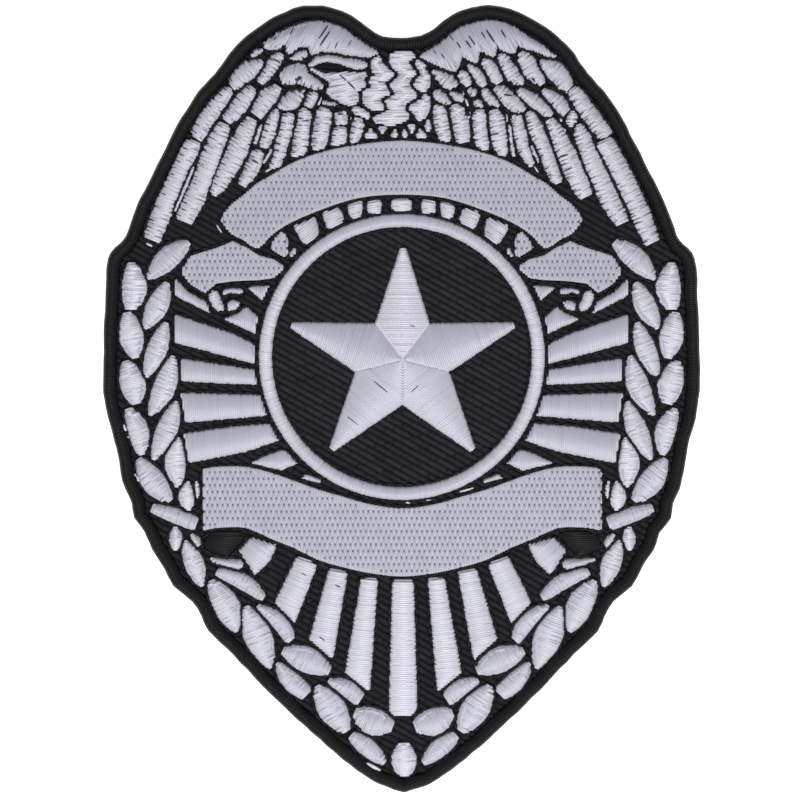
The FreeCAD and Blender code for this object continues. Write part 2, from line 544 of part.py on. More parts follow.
NODES = {
    "ground_cloth": ground_cloth,
    "border": border,
    "center_ring": center_ring,
    "star": star,
    "upper_ribbon": lambda: ribbon(both_halves(UPPER_RIBBON_HALF)),
    "lower_ribbon": lambda: ribbon(both_halves(LOWER_RIBBON_HALF)),
    "ribbon_tail_left": lambda: ribbon_tail(1),
    "ribbon_tail_right": lambda: ribbon_tail(-1),
    "ribbon_return_left": lambda: panels(RIBBON_RETURN, RIBBON_HIGH, 1),
    "ribbon_return_right": lambda: panels(RIBBON_RETURN, RIBBON_HIGH, -1),
    "ribbon_curl_left": lambda: panels(RIBBON_CURL, RIBBON_HIGH, 1),
    "ribbon_curl_right": lambda: panels(RIBBON_CURL, RIBBON_HIGH, -1),
    "ribbon_shadow_left": lambda: panel_pad(RIBBON_SHADOW, RIBBON_HIGH, 1),
    "ribbon_shadow_right": lambda: panel_pad(RIBBON_SHADOW, RIBBON_HIGH, -1),
    "side_rays_left": lambda: panels(SIDE_RAYS, RAY_HIGH, 1),
    "side_rays_right": lambda: panels(SIDE_RAYS, RAY_HIGH, -1),
    "top_rays": top_rays,
    "bottom_rays": bottom_rays,
    "laurel_outer_left": lambda: laurel(LAUREL_OUTER, 1),
    "laurel_outer_right": lambda: laurel(LAUREL_OUTER, -1),
    "laurel_inner_left": lambda: laurel(LAUREL_INNER, 1),
    "laurel_inner_right": lambda: laurel(LAUREL_INNER, -1),
    "laurel_folded_left": lambda: laurel(LAUREL_FOLDED, 1),
    "laurel_folded_right": lambda: laurel(LAUREL_FOLDED, -1),
    "laurel_stems_left": lambda: laurel(LAUREL_STEMS, 1),
    "laurel_stems_right": lambda: laurel(LAUREL_STEMS, -1),
    "laurel_bud": lambda: blade_pad(BUD),
    "wing_crest_left": lambda: crest(LEFT_CREST),
    "wing_crest_right": lambda: crest(RIGHT_CREST),
    "wing_coverts_left": left_coverts,
    "wing_coverts_right": lambda: blades(RIGHT_COVERTS),
    "wing_feathers_left": lambda: blades(LEFT_FEATHERS),
    "wing_feathers_right": lambda: blades(RIGHT_FEATHERS),
    "eagle_brow": lambda: crest(EAGLE_BROW),
    "eagle_eye": lambda: blade_pad(EAGLE_EYE),
    "eagle_face": lambda: panel_pad(EAGLE_FACE, LEAF_HIGH),
    "eagle_neck": neck,
    "breast_tufts": lambda: blades(BREAST_TUFTS),
}

os.makedirs("parts", exist_ok=True)
for node, make in NODES.items():
    make().exportStep("parts/" + node + ".step")
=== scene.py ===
"""Dresses the embroidered shield badge with its rows of thread, satin border and twill."""
import logging
import math
from abc import ABC, abstractmethod
from collections.abc import Callable
from dataclasses import dataclass
from enum import Enum

import bmesh
import bpy
import numpy as np
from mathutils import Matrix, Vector
from mathutils.bvhtree import BVHTree


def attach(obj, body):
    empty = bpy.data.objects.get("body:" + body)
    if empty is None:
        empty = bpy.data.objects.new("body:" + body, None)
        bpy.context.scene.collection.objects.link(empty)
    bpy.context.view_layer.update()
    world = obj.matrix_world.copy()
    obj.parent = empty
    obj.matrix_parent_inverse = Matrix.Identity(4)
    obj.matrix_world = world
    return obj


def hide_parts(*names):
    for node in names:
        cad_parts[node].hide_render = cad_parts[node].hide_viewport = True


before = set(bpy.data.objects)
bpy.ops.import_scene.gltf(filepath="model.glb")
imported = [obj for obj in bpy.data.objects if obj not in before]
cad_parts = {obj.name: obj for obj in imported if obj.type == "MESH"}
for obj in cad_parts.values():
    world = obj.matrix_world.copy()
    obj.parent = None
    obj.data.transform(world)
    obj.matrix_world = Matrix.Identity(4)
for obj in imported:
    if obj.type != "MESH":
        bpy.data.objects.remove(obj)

LOG = logging.getLogger("badge")
MM = 0.001
CLOTH_TOP = 1.0 * MM
CLOTH_INSET = 0.60 * MM
MERGE_REACH = 0.002 * MM
RAY_START = 10.0 * MM
EDGE_STEP = 0.20 * MM
AXIS_STEP = 0.25 * MM
RING_STEP = 1.0 * MM
BORDER_EDGE = 0.9 * MM
SHARPEST_CORNER = 0.5
NEIGHBOURHOOD = 12.0 * MM
EDGE_SLOPE = 0.03 * MM


class Slot(Enum):
    """The record's material slots."""

    TWILL = "black_twill"
    BLACK = "black_thread"
    WHITE = "white_thread"


class Lay(Enum):
    """Which way the rows of a satin patch run."""

    ACROSS = "across each patch's own length"
    ANGLE = "at one angle to the badge's width"
    AROUND = "square to the line from the ring's middle"


class Value:
    """One shader socket that takes part in Python arithmetic."""

    def __init__(self, graph: "Graph", socket: bpy.types.NodeSocket) -> None:
        """Args:
            graph: the node graph that the socket belongs to.
            socket: an output socket.
        """
        self.graph = graph
        self.socket = socket

    def _math(self, operation: str, first: object, second: object) -> "Value":
        """Adds one Math node and returns its output."""
        return self.graph.node("ShaderNodeMath", {"operation": operation}, {0: first, 1: second})

    def __add__(self, other: object) -> "Value":
        """Self plus other."""
        return self._math("ADD", self, other)

    def __radd__(self, other: object) -> "Value":
        """Other plus self."""
        return self._math("ADD", other, self)

    def __sub__(self, other: object) -> "Value":
        """Self minus other."""
        return self._math("SUBTRACT", self, other)

    def __rsub__(self, other: object) -> "Value":
        """Other minus self."""
        return self._math("SUBTRACT", other, self)

    def __mul__(self, other: object) -> "Value":
        """Self times other."""
        return self._math("MULTIPLY", self, other)

    def __rmul__(self, other: object) -> "Value":
        """Other times self."""
        return self._math("MULTIPLY", other, self)

    def clamped(self) -> "Value":
        """Self held between 0 and 1."""
        return self._math("MAXIMUM", self._math("MINIMUM", self, 1.0), 0.0)


class Graph:
    """The node graph of one material."""

    def __init__(self, name: str) -> None:
        """Args:
            name: the material's name.
        """
        self.material = bpy.data.materials.new(name)
        self.material.use_nodes = True
        self.material.node_tree.nodes.clear()

    def node(self, kind: str, settings: dict, inputs: dict, output: object = 0) -> Value:
        """Adds one node.

        Args:
            kind: the node's type.
            settings: the node's own properties, set before its sockets.
            inputs: a number, colour or Value for each named or numbered socket.
            output: the name or number of the output that is wanted.

        Returns:
            That output as a Value.
        """
        tree = self.material.node_tree
        made = tree.nodes.new(kind)
        for key, value in settings.items():
            setattr(made, key, value)
        for key, value in inputs.items():
            if isinstance(value, Value):
                tree.links.new(value.socket, made.inputs[key])
            else:
                made.inputs[key].default_value = value
        return Value(self, made.outputs[output]) if len(made.outputs) else None

    def noise(self, waves: float, detail: float = 2.0) -> Value:
        """Even noise over the object.

        Args:
            waves: how many waves there are in a metre.
            detail: how many finer layers it has.

        Returns:
            A value from 0 to 1.
        """
        place = self.node("ShaderNodeTexCoord", {}, {}, "Object")
        inputs = {"Vector": place, "Scale": waves, "Detail": detail, "Roughness": 0.6}
        return self.node("ShaderNodeTexNoise", {}, inputs, "Fac")

    def attribute(self, name: str) -> Value:
        """A number that the mesh holds for each of its points."""
        return self.node("ShaderNodeAttribute", {"attribute_name": name}, {}, "Fac")

    def mix(self, share: Value, low: tuple, high: tuple) -> Value:
        """The colour between low and high at this share."""
        inputs = {0: share, 6: low + (1.0,), 7: high + (1.0,)}
        return self.node("ShaderNodeMix", {"data_type": "RGBA"}, inputs, 2)

    def bump(self, height: Value, strength: float, distance: float) -> Value:
        """A surface normal that follows a height."""
        inputs = {"Strength": strength, "Distance": distance, "Height": height}
        return self.node("ShaderNodeBump", {}, inputs)

    def surface(self, sockets: dict) -> bpy.types.Material:
        """Closes the graph with one Principled shader.

        Args:
            sockets: a number, colour or Value for each socket of the shader.

        Returns:
            The material.
        """
        shader = self.node("ShaderNodeBsdfPrincipled", {}, sockets)
        self.node("ShaderNodeOutputMaterial", {}, {"Surface": shader})
        return self.material


@dataclass(frozen=True)
class ThreadFinish:
    """Embroidery thread: a soft sheen, rows that differ a little, and the painted shade and painted
    highlights that each row's tone carries.
    """

    name: str
    slot: Slot
    deep: tuple
    bright: tuple
    roughness: float = 0.42
    lustre: float = 0.10
    specular: float = 0.60
    sheen: float = 0.10
    sheen_roughness: float = 0.5
    roughness_spread: float = 0.14
    fibre_strength: float = 0.20
    fibre_depth: float = 0.04 * MM
    fibre_waves: float = 6500.0
    patch_waves: float = 240.0
    row_share: float = 0.80
    patch_share: float = 0.14
    fibre_share: float = 0.14

    def make(self) -> bpy.types.Material:
        """Builds the finish's shader.

        Returns:
            The finish as a material.
        """
        graph = Graph(self.name)
        fibre = graph.noise(self.fibre_waves, 3.0)
        patchy = graph.noise(self.patch_waves)
        # Each row's tone carries painted shade (darker row ends, darker upright rows) and painted highlights
        # near the ends that face the badge's foot; the deep colour is where that painted shade shows.
        row = graph.attribute("row_tone_and_painted_light")
        tone = self.row_share * row + self.patch_share * (patchy - 0.5) + self.fibre_share * fibre
        return graph.surface({
            "Base Color": graph.mix(tone.clamped(), self.deep, self.bright),
            "Roughness": self.roughness + self.roughness_spread * fibre,
            "Metallic": self.lustre,
            "Specular IOR Level": self.specular,
            "Sheen Weight": self.sheen,
            "Sheen Roughness": self.sheen_roughness,
            "Normal": graph.bump(fibre, self.fibre_strength, self.fibre_depth),
        })


@dataclass(frozen=True)
class TwillFinish:
    """The black cloth between the ribs: matt, with a fine crossing of yarns."""

    name: str = "black_twill_cloth"
    slot: Slot = Slot.TWILL
    deep: tuple = (0.004, 0.004, 0.005)
    bright: tuple = (0.020, 0.020, 0.022)
    yarn_waves: float = 3000.0
    yarn_strength: float = 0.5
    yarn_depth: float = 0.08 * MM
    roughness: float = 0.78
    roughness_spread: float = 0.15
    specular: float = 0.15

    def make(self) -> bpy.types.Material:
        """Builds the finish's shader.

        Returns:
            The finish as a material.
        """
        graph = Graph(self.name)
        yarn = graph.noise(self.yarn_waves, 4.0)
        return graph.surface({
            "Base Color": graph.mix(yarn, self.deep, self.bright),
            "Roughness": self.roughness + self.roughness_spread * yarn,
            "Specular IOR Level": self.specular,
            "Normal": graph.bump(yarn, self.yarn_strength, self.yarn_depth),
        })


@dataclass(frozen=True)
class FloorFinish:
    """The plain white table under the badge."""

    name: str = "white_table"
    colour: tuple = (0.93, 0.93, 0.93, 1.0)
    glow: float = 0.90
    roughness: float = 0.9

    def make(self) -> bpy.types.Material:
        """Builds the finish's shader.

        Returns:
            The finish as a material.
        """
        graph = Graph(self.name)
        return graph.surface({
            "Base Color": self.colour,
            "Roughness": self.roughness,
            "Emission Color": (1.0, 1.0, 1.0, 1.0),
            "Emission Strength": self.glow,
        })


# The white thread's deep end is darker and more lilac: it is the colour of the painted shade in the rows'
# tone.
WHITE_THREAD = ThreadFinish("white_thread", Slot.WHITE, (0.36, 0.355, 0.46), (0.86, 0.855, 0.96))
# The underlay pads show in the gaps between the rows; their grey-lilac is painted shade in those gaps.
WHITE_UNDERLAY_SHADE = ThreadFinish("white_underlay_shade", Slot.WHITE, (0.52, 0.515, 0.63), (0.70, 0.69, 0.82))
# Under the ribbons the underlay is painted dark, as painted shade in the needle holes between the stitches.
RIBBON_UNDERLAY_SHADE = ThreadFinish("ribbon_underlay_shade", Slot.WHITE, (0.13, 0.125, 0.19), (0.24, 0.23, 0.33))
BLACK_THREAD = ThreadFinish(
    "black_thread", Slot.BLACK, (0.003, 0.003, 0.004), (0.011, 0.011, 0.013),
    roughness=0.45, lustre=0.0, specular=0.22, sheen=0.0)
THREAD_GAP = ThreadFinish(
    "thread_gap", Slot.BLACK, (0.020, 0.020, 0.030), (0.060, 0.058, 0.080),
    roughness=0.60, lustre=0.0, specular=0.20, sheen=0.0)
TWILL_YARN = ThreadFinish(
    "black_twill_yarn", Slot.TWILL, (0.003, 0.003, 0.004), (0.034, 0.034, 0.038),
    roughness=0.75, lustre=0.0, specular=0.15, sheen=0.02)
TWILL_CLOTH = TwillFinish()


def placed(name: str, data: bpy.types.ID) -> bpy.types.Object:
    """Puts a new object in the scene.

    Args:
        name: the object's name.
        data: its mesh, lamp or camera.

    Returns:
        The object.
    """
    piece = bpy.data.objects.new(name, data)
    bpy.context.scene.collection.objects.link(piece)
    return piece


class Finishes:
    """Makes each finish once and puts it on pieces."""

    def __init__(self) -> None:
        """Starts with nothing made."""
        self.made: dict[str, bpy.types.Material] = {}

    def put(self, piece: bpy.types.Object, finish: object) -> bpy.types.Object:
        """Gives a piece its finish.

        Args:
            piece: a mesh object.
            finish: one of the finishes above.

        Returns:
            The same piece.
        """
        if finish.name not in self.made:
            self.made[finish.name] = finish.make()
        piece.data.materials.clear()
        piece.data.materials.append(self.made[finish.name])
        return piece


FINISHES = Finishes()


@dataclass(frozen=True)
class Outline:
    """One closed line seen from above, with its inside on the left, in metres."""

    points: np.ndarray

    @staticmethod
    def around(points: np.ndarray) -> "Outline":
        """Makes an outline from corners that may run either way round.

        Args:
            points: the line's corners in order.

        Returns:
            The outline, with its inside on the left.
        """
        after = np.roll(points, -1, axis=0)
        twice = np.sum(points[:, 0] * after[:, 1] - after[:, 0] * points[:, 1])
        return Outline(points if twice > 0 else points[::-1])

    def area(self) -> float:
        """The area inside, in square metres."""
        after = np.roll(self.points, -1, axis=0)
        return 0.5 * float(np.sum(self.points[:, 0] * after[:, 1] - after[:, 0] * self.points[:, 1]))

    def evenly(self, step: float, smoothing: int = 0) -> tuple[np.ndarray, np.ndarray]:
        """Walks the line in even steps.

        Args:
            step: about how far apart the stops are.
            smoothing: over how many stops on each side the outward direction is averaged.

        Returns:
            The stops, and the outward direction at each.
        """
        closed = np.vstack([self.points, self.points[:1]])
        lengths = np.hypot(*np.diff(closed, axis=0).T)
        travelled = np.concatenate([[0.0], np.cumsum(lengths)])
        count = max(3, round(travelled[-1] / step))
        at = np.arange(count) * travelled[-1] / count
        stops = np.stack([np.interp(at, travelled, closed[:, k]) for k in (0, 1)], axis=1)
        ahead = np.roll(stops, -1, axis=0) - np.roll(stops, 1, axis=0)
        outward = np.stack([ahead[:, 1], -ahead[:, 0]], axis=1)
        outward /= np.linalg.norm(outward, axis=1, keepdims=True)
        total = sum(np.roll(outward, k, axis=0) for k in range(-smoothing, smoothing + 1))
        return stops, total / np.linalg.norm(total, axis=1, keepdims=True)

    def grown(self, reach: float) -> "Outline":
        """Moves the outline's edge.

        Args:
            reach: how far it moves outwards, or inwards where this is negative.

        Returns:
            The moved outline.
        """
        before = self.points - np.roll(self.points, 1, axis=0)
        after = np.roll(self.points, -1, axis=0) - self.points
        first = np.stack([before[:, 1], -before[:, 0]], axis=1) / np.linalg.norm(before, axis=1)[:, None]
        second = np.stack([after[:, 1], -after[:, 0]], axis=1) / np.linalg.norm(after, axis=1)[:, None]
        spread = np.maximum(1.0 + np.sum(first * second, axis=1), SHARPEST_CORNER)
        return Outline(self.points + reach * (first + second) / spread[:, None])

    def contains(self, spots: np.ndarray) -> np.ndarray:
        """Tests spots against the outline.

        Args:
            spots: places seen from above.

        Returns:
            Whether each of them lies inside.
        """
        inside = np.zeros(len(spots), bool)
        x, y = spots[:, 0], spots[:, 1]
        for (ax, ay), (bx, by) in zip(self.points, np.roll(self.points, -1, axis=0)):
            if ay != by:
                inside ^= ((ay > y) != (by > y)) & (x < (bx - ax) * (y - ay) / (by - ay) + ax)
        return inside

    def long_axis(self) -> float:
        """Finds the outline's longest direction.

        Returns:
            Its angle, in radians.
        """
        stops, _ = self.evenly(AXIS_STEP)
        centred = stops - stops.mean(axis=0)
        return float(math.atan2(*np.linalg.eigh(centred.T @ centred)[1][:, -1][::-1]))

    def hatch(self, angle: float, pitch: float, on_grid: bool = False) -> np.ndarray:
        """Straight rows that fill the outline.

        Args:
            angle: the rows' direction, in radians.
            pitch: the distance between rows.
            on_grid: whether the rows keep to one grid through the origin, instead of fitting.

        Returns:
            The two ends of each row, as an array of rows, ends and coordinates.
        """
        along = np.array([math.cos(angle), math.sin(angle)])
        aside = np.array([-along[1], along[0]])
        u, v = self.points @ along, self.points @ aside
        if on_grid:
            levels = pitch * (np.arange(math.ceil(v.min() / pitch), math.ceil(v.max() / pitch)))
        else:
            count = max(1, round((v.max() - v.min()) / pitch))
            levels = v.min() + (np.arange(count) + 0.5) * (v.max() - v.min()) / count
        u_after, v_after = np.roll(u, -1), np.roll(v, -1)
        rows = []
        for level in levels:
            crossing = (v > level) != (v_after > level)
            share = (level - v[crossing]) / (v_after[crossing] - v[crossing])
            cuts = np.sort(u[crossing] + share * (u_after[crossing] - u[crossing]))
            for first, last in zip(cuts[::2], cuts[1::2]):
                rows.append((first * along + level * aside, last * along + level * aside))
        return np.array(rows).reshape(-1, 2, 2)


class Pad:
    """One CAD node seen from above: the outlines of its patches and the height of its surface."""

    def __init__(self, node: str) -> None:
        """Args:
            node: the CAD node's name.
        """
        self.node = node
        self.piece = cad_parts[node]
        shape = bmesh.new()
        shape.from_mesh(self.piece.data)
        bmesh.ops.remove_doubles(shape, verts=shape.verts, dist=MERGE_REACH)
        self.foot = min(v.co.z for v in shape.verts)
        self.peak = Vector(max((v.co for v in shape.verts), key=lambda co: co.z))
        self.tree = BVHTree.FromBMesh(shape)
        self.outlines = self._outlines(shape)
        self.patches = self.outlines
        shape.free()

    def _outlines(self, shape: bmesh.types.BMesh) -> list[Outline]:
        """Finds the closed lines round the node's flat underside.

        Args:
            shape: the node's merged mesh.

        Returns:
            One outline for each line.
        """
        low = self.foot + 5 * MERGE_REACH
        under = {f for f in shape.faces if all(v.co.z < low for v in f.verts)}
        rim = [e for e in shape.edges if sum(f in under for f in e.link_faces) == 1]
        links: dict[bmesh.types.BMVert, list] = {}
        for edge in rim:
            for a, b in (edge.verts, reversed(edge.verts)):
                links.setdefault(a, []).append(b)
        loops = []
        while links:
            start = min(links, key=lambda v: (v.co.x, v.co.y))
            loop, here = [start], links.pop(start)[0]
            last = start
            while here is not start:
                loop.append(here)
                ways = links.pop(here)
                here, last = (ways[0] if ways[0] is not last else ways[1]), here
            loops.append(Outline.around(np.array([(v.co.x, v.co.y) for v in loop])))
        return loops

    def heights(self, spots: np.ndarray) -> np.ndarray:
        """Finds the height of the node's surface.

        Args:
            spots: places seen from above.

        Returns:
            The height at each spot, or 0 where the node isn't.
        """
        flat = spots.reshape(-1, 2)
        down = Vector((0.0, 0.0, -1.0))
        found = []
        for x, y in flat:
            hit = self.tree.ray_cast(Vector((x, y, RAY_START)), down)[0]
            found.append(0.0 if hit is None else hit.z)
        return np.array(found).reshape(spots.shape[:-1])

    def widen(self, reach: float, gap: float, edges: np.ndarray, owners: np.ndarray, first: int) -> None:
        """Widens the patches towards their neighbours, as rows of thread overhang their padding.

        Args:
            reach: how far an edge may move.
            gap: the space that stays between two patches.
            edges: spots along the edges of all patches of the badge.
            owners: the number of the patch that each spot belongs to.
            first: the number of this node's first patch.
        """
        self.patches = []
        for number, outline in enumerate(self.outlines, first):
            stops, outward = outline.evenly(EDGE_STEP, smoothing=1)
            near = np.abs(edges - stops.mean(axis=0)).max(axis=1) < NEIGHBOURHOOD
            foreign = edges[near & (owners != number)]
            room = np.array([np.hypot(*(foreign - stop).T).min(initial=NEIGHBOURHOOD) for stop in stops])
            move = np.clip((room - gap) / 2, 0.0, reach)
            move = np.minimum(move, (np.roll(move, 1) + np.roll(move, -1)) / 2 + EDGE_SLOPE)
            self.patches.append(Outline(stops + outward * move[:, None]))


class StrandForm:
    """The form of one strand: a round tube with closed ends, one ring for each of its stations."""

    made: dict[tuple, "StrandForm"] = {}

    def __init__(self, rings: int, sides: int) -> None:
        """Args:
            rings: how many stations the tube has.
            sides: how many sides it has.
        """
        tube = bmesh.new()
        bmesh.ops.create_circle(tube, cap_ends=False, segments=sides, radius=1.0)
        edges = list(tube.edges)
        for _ in range(rings - 1):
            grown = bmesh.ops.extrude_edge_only(tube, edges=edges)["geom"]
            bmesh.ops.translate(
                tube, verts=[g for g in grown if isinstance(g, bmesh.types.BMVert)], vec=(0.0, 0.0, 1.0))
            edges = [g for g in grown if isinstance(g, bmesh.types.BMEdge)]
        bmesh.ops.holes_fill(tube, edges=[e for e in tube.edges if e.is_boundary], sides=0)
        bmesh.ops.recalc_face_normals(tube, faces=tube.faces)
        places = np.array([v.co for v in tube.verts])
        self.circle = places[:, :2]
        self.ring = np.rint(places[:, 2]).astype(int)
        self.corners = np.array([v.index for f in tube.faces for v in f.verts], np.int32)
        self.starts = np.cumsum([0] + [len(f.verts) for f in tube.faces][:-1]).astype(np.int32)
        tube.free()

    @classmethod
    def of(cls, rings: int, sides: int) -> "StrandForm":
        """Finds the form with these numbers, which is made only once.

        Args:
            rings: how many stations the tube has.
            sides: how many sides it has.

        Returns:
            The form.
        """
        if (rings, sides) not in cls.made:
            cls.made[rings, sides] = cls(rings, sides)
        return cls.made[rings, sides]


class Strands:
    """Many strands of thread that are joined into one mesh."""

    def __init__(self, name: str, rings: int, sides: int = 6) -> None:
        """Args:
            name: the piece's name.
            rings: how many stations each strand has.
            sides: how many sides each strand has.
        """
        self.name = name
        self.form = StrandForm.of(rings, sides)
        self.batches: list[tuple] = []

    def add(self, lines: np.ndarray, aside: np.ndarray, wide: np.ndarray, thick: np.ndarray,
            tone: np.ndarray) -> None:
        """Adds a batch of strands.

        Args:
            lines: the stations of each strand's middle line.
            aside: the direction across each strand, level with the cloth.
            wide: the strand's width at each station.
            thick: its thickness at each station.
            tone: how bright it is at each station, painted shade and highlights included.
        """
        if len(lines):
            self.batches.append((lines, aside, wide, thick, tone))

    def build(self, finish: ThreadFinish) -> bpy.types.Object:
        """Joins the strands into one piece with its finish and its place on the badge.

        Args:
            finish: the finish of the thread.

        Returns:
            The piece.
        """
        lines, aside, wide, thick, tone = (np.concatenate(part) for part in zip(*self.batches))
        form = self.form
        ahead = np.gradient(lines, axis=1)
        ahead /= np.linalg.norm(ahead, axis=2, keepdims=True)
        across = np.broadcast_to(aside[:, None, :], lines.shape)
        upward = np.cross(ahead, across)
        upward /= np.linalg.norm(upward, axis=2, keepdims=True)
        ring, circle = form.ring, form.circle
        places = (lines[:, ring]
                  + across[:, ring] * (circle[:, 0] * wide[:, ring] / 2)[..., None]
                  + upward[:, ring] * (circle[:, 1] * thick[:, ring] / 2)[..., None])
        count, corners = len(lines), len(form.ring)
        mesh = bpy.data.meshes.new(self.name)
        mesh.vertices.add(count * corners)
        mesh.vertices.foreach_set("co", places.astype(np.float32).ravel())
        shift = np.arange(count, dtype=np.int32)[:, None]
        mesh.loops.add(count * len(form.corners))
        mesh.loops.foreach_set("vertex_index", (form.corners[None] + shift * corners).ravel())
        mesh.polygons.add(count * len(form.starts))
        mesh.polygons.foreach_set("loop_start", (form.starts[None] + shift * len(form.corners)).ravel())
        mesh.update(calc_edges=True)
        mesh.polygons.foreach_set("use_smooth", np.ones(len(mesh.polygons), bool))
        # The tone, painted shade and highlights included, goes to the finish as a point attribute.
        mesh.attributes.new("row_tone_and_painted_light", "FLOAT", "POINT").data.foreach_set(
            "value", tone[:, ring].astype(np.float32).ravel())
        mesh.update()
        piece = FINISHES.put(placed(self.name, mesh), finish)
        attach(piece, "root")
        LOG.info("%s: %d strands, %d faces", self.name, count, len(mesh.polygons))
        return piece


def mirrored(half: tuple) -> np.ndarray:
    """The values from a row's end to its middle, and back to its other end."""
    return np.array(half + half[-2::-1])


def lengths_of(rows: np.ndarray) -> np.ndarray:
    """The length of each row."""
    return np.linalg.norm(rows[:, 1] - rows[:, 0], axis=1)


def raised(flat: np.ndarray, rise: np.ndarray) -> np.ndarray:
    """Flat stations with their heights."""
    return np.concatenate([flat, rise[..., None]], axis=2)


def straight(rows: np.ndarray, shares: tuple) -> tuple[np.ndarray, np.ndarray]:
    """Stations along straight rows.

    Args:
        rows: the two ends of each row.
        shares: how far along its row each station lies.

    Returns:
        The flat stations, and the level direction across each row.
    """
    span = rows[:, 1] - rows[:, 0]
    ahead = span / np.linalg.norm(span, axis=1, keepdims=True)
    aside = np.stack([-ahead[:, 1], ahead[:, 0], np.zeros(len(rows))], axis=1)
    return rows[:, :1] + span[:, None] * np.array(shares)[:, None], aside


@dataclass(frozen=True)
class Thread:
    """The sizes of a row of satin, each given from the row's end towards its middle."""

    pitch: float = 0.27 * MM
    cover: float = 1.62
    thickness: float = 0.13 * MM
    thinnest: float = 0.7
    shortest: float = 0.12 * MM
    reach: float = 0.05 * MM
    ragged: float = 0.08 * MM
    pinch: float = 0.0
    pinch_range: tuple = (0.4, 1.2)
    pinch_fade: tuple = (1.0, 0.6, 0.1, 0.0)
    shoulder: tuple = (0.10 * MM, 0.34 * MM)
    shoulder_limit: tuple = (0.14, 0.30)
    rises: tuple = (0.03, 0.58)
    edge_height: float = 0.85
    stray_height: float = 0.6
    uneven: float = 0.005 * MM
    lift: float = 0.09 * MM
    crown: float = 0.045
    crown_limit: float = 0.17 * MM
    crown_share: tuple = (0.45, 1.0)
    taper: tuple = (0.50, 0.84, 1.0, 1.0)
    width_range: tuple = (0.93, 1.07)
    # tone: painted shade, darkest at the row's ends where it dips to the cloth.
    tone: tuple = (0.60, 0.90, 1.0, 1.0)
    tone_range: tuple = (0.92, 1.0)
    faint_share: float = 0.07
    faint: float = 0.80
    short_share: float = 0.0
    short_by: float = 0.45 * MM
    short_limit: float = 0.25
    # Painted light: rows that run up the badge are painted darker, and the end that faces the badge's foot
    # gets a painted highlight.
    upright_shade: float = 0.54
    foot_end_highlight: tuple = (0.55, 0.50, 0.22, 0.0)

    def lay(self, rows: np.ndarray, pad: Pad, random: np.random.Generator, strands: Strands) -> None:
        """Lays rows of thread over a pad, each from one needle hole to the next.

        Args:
            rows: the two ends of each row.
            pad: the pad that the rows cover.
            random: the source of unevenness.
            strands: where the rows go.
        """
        rows = rows[lengths_of(rows) > self.shortest]
        count = len(rows)
        if not count:
            return
        length = lengths_of(rows)
        ahead = (rows[:, 1] - rows[:, 0]) / length[:, None]
        extra = self.reach + self.ragged * random.uniform(-1.0, 1.0, (count, 2))
        cut = (random.random((count, 2)) < self.short_share) * self.short_by * random.random((count, 2))
        extra -= np.minimum(cut, self.short_limit * length[:, None])
        start = rows[:, 0] - ahead * extra[:, :1]
        length = length + extra.sum(axis=1)
        near = np.minimum(self.shoulder[0], self.shoulder_limit[0] * length)
        far = np.minimum(self.shoulder[1], self.shoulder_limit[1] * length)
        zero = np.zeros(count)
        stops = np.stack([zero, near, far, length / 2, length - far, length - near, length], axis=1)
        flat = start[:, None] + ahead[:, None] * stops[..., None]
        sideways = np.stack([-ahead[:, 1], ahead[:, 0]], axis=1)
        turns = np.where(np.arange(count) % 2, -1.0, 1.0)
        pinch = self.pinch * turns * random.uniform(*self.pinch_range, count)
        flat += sideways[:, None] * pinch[:, None, None] * mirrored(self.pinch_fade)[:, None]
        lines = raised(flat, self._rise(flat, length, pad, random))
        aside = np.concatenate([sideways, zero[:, None]], axis=1)
        taper = mirrored(self.taper)
        wide = self.pitch * self.cover * taper * random.uniform(*self.width_range, (count, 1))
        thick = np.broadcast_to(self.thickness * np.maximum(taper, self.thinnest), wide.shape)
        # Painted shade: each row is darker towards its ends; the random spread and the faint rows are the
        # thread's own tone.
        tone_and_painted_light = mirrored(self.tone) * random.uniform(*self.tone_range, (count, 1))
        tone_and_painted_light = tone_and_painted_light * np.where(random.random((count, 1)) < self.faint_share, self.faint, 1.0)
        # Painted shade on rows that run up the badge, and a painted highlight near the end that faces its
        # foot.
        tone_and_painted_light = tone_and_painted_light * (1.0 - self.upright_shade * np.abs(ahead[:, 1:])) + self._painted_rim_highlights(ahead)
        strands.add(lines, aside, wide, thick, tone_and_painted_light)

    def _painted_rim_highlights(self, ahead: np.ndarray) -> np.ndarray:
        """Painted highlight: how much brighter each station is near an end of the row that faces the badge's
        foot, as if lit from that side.
        """
        foot_end_highlight = np.concatenate([np.array(self.foot_end_highlight), np.zeros(len(self.foot_end_highlight) - 1)])
        return foot_end_highlight * np.maximum(ahead[:, 1:], 0.0) + foot_end_highlight[::-1] * np.maximum(-ahead[:, 1:], 0.0)

    def _rise(
            self, flat: np.ndarray, length: np.ndarray, pad: Pad, random: np.random.Generator) -> np.ndarray:
        """Finds each station's height: on the cloth at both ends, and bowed over the pad between them.

        Args:
            flat: the stations seen from above.
            length: the length of each row.
            pad: the pad under the rows.
            random: the source of unevenness.

        Returns:
            The heights.
        """
        held = np.maximum(pad.heights(flat) - CLOTH_TOP, 0.0)
        rise = held.copy()
        over = held[:, 3] > 0.0
        usual = np.median(held[over, 3]) if over.any() else pad.peak.z - CLOTH_TOP
        rise[:, 3] = np.where(over, held[:, 3], self.stray_height * usual)
        for side, step in ((2, 1), (4, -1)):
            rise[:, side] = np.where(rise[:, side] > 0.0, rise[:, side], self.edge_height * rise[:, 3])
            rise[:, side - step] = np.maximum(self.rises[1] * rise[:, side], held[:, side - step])
            rise[:, side - 2 * step] = np.maximum(self.rises[0] * rise[:, side], held[:, side - 2 * step])
        bow = np.minimum(self.crown * length, self.crown_limit)[:, None]
        rise[:, 2:5] += self.lift + bow * mirrored(self.crown_share)
        rise[:, 1:6] += self.uneven * random.standard_normal((len(flat), 1))
        return CLOTH_TOP + rise


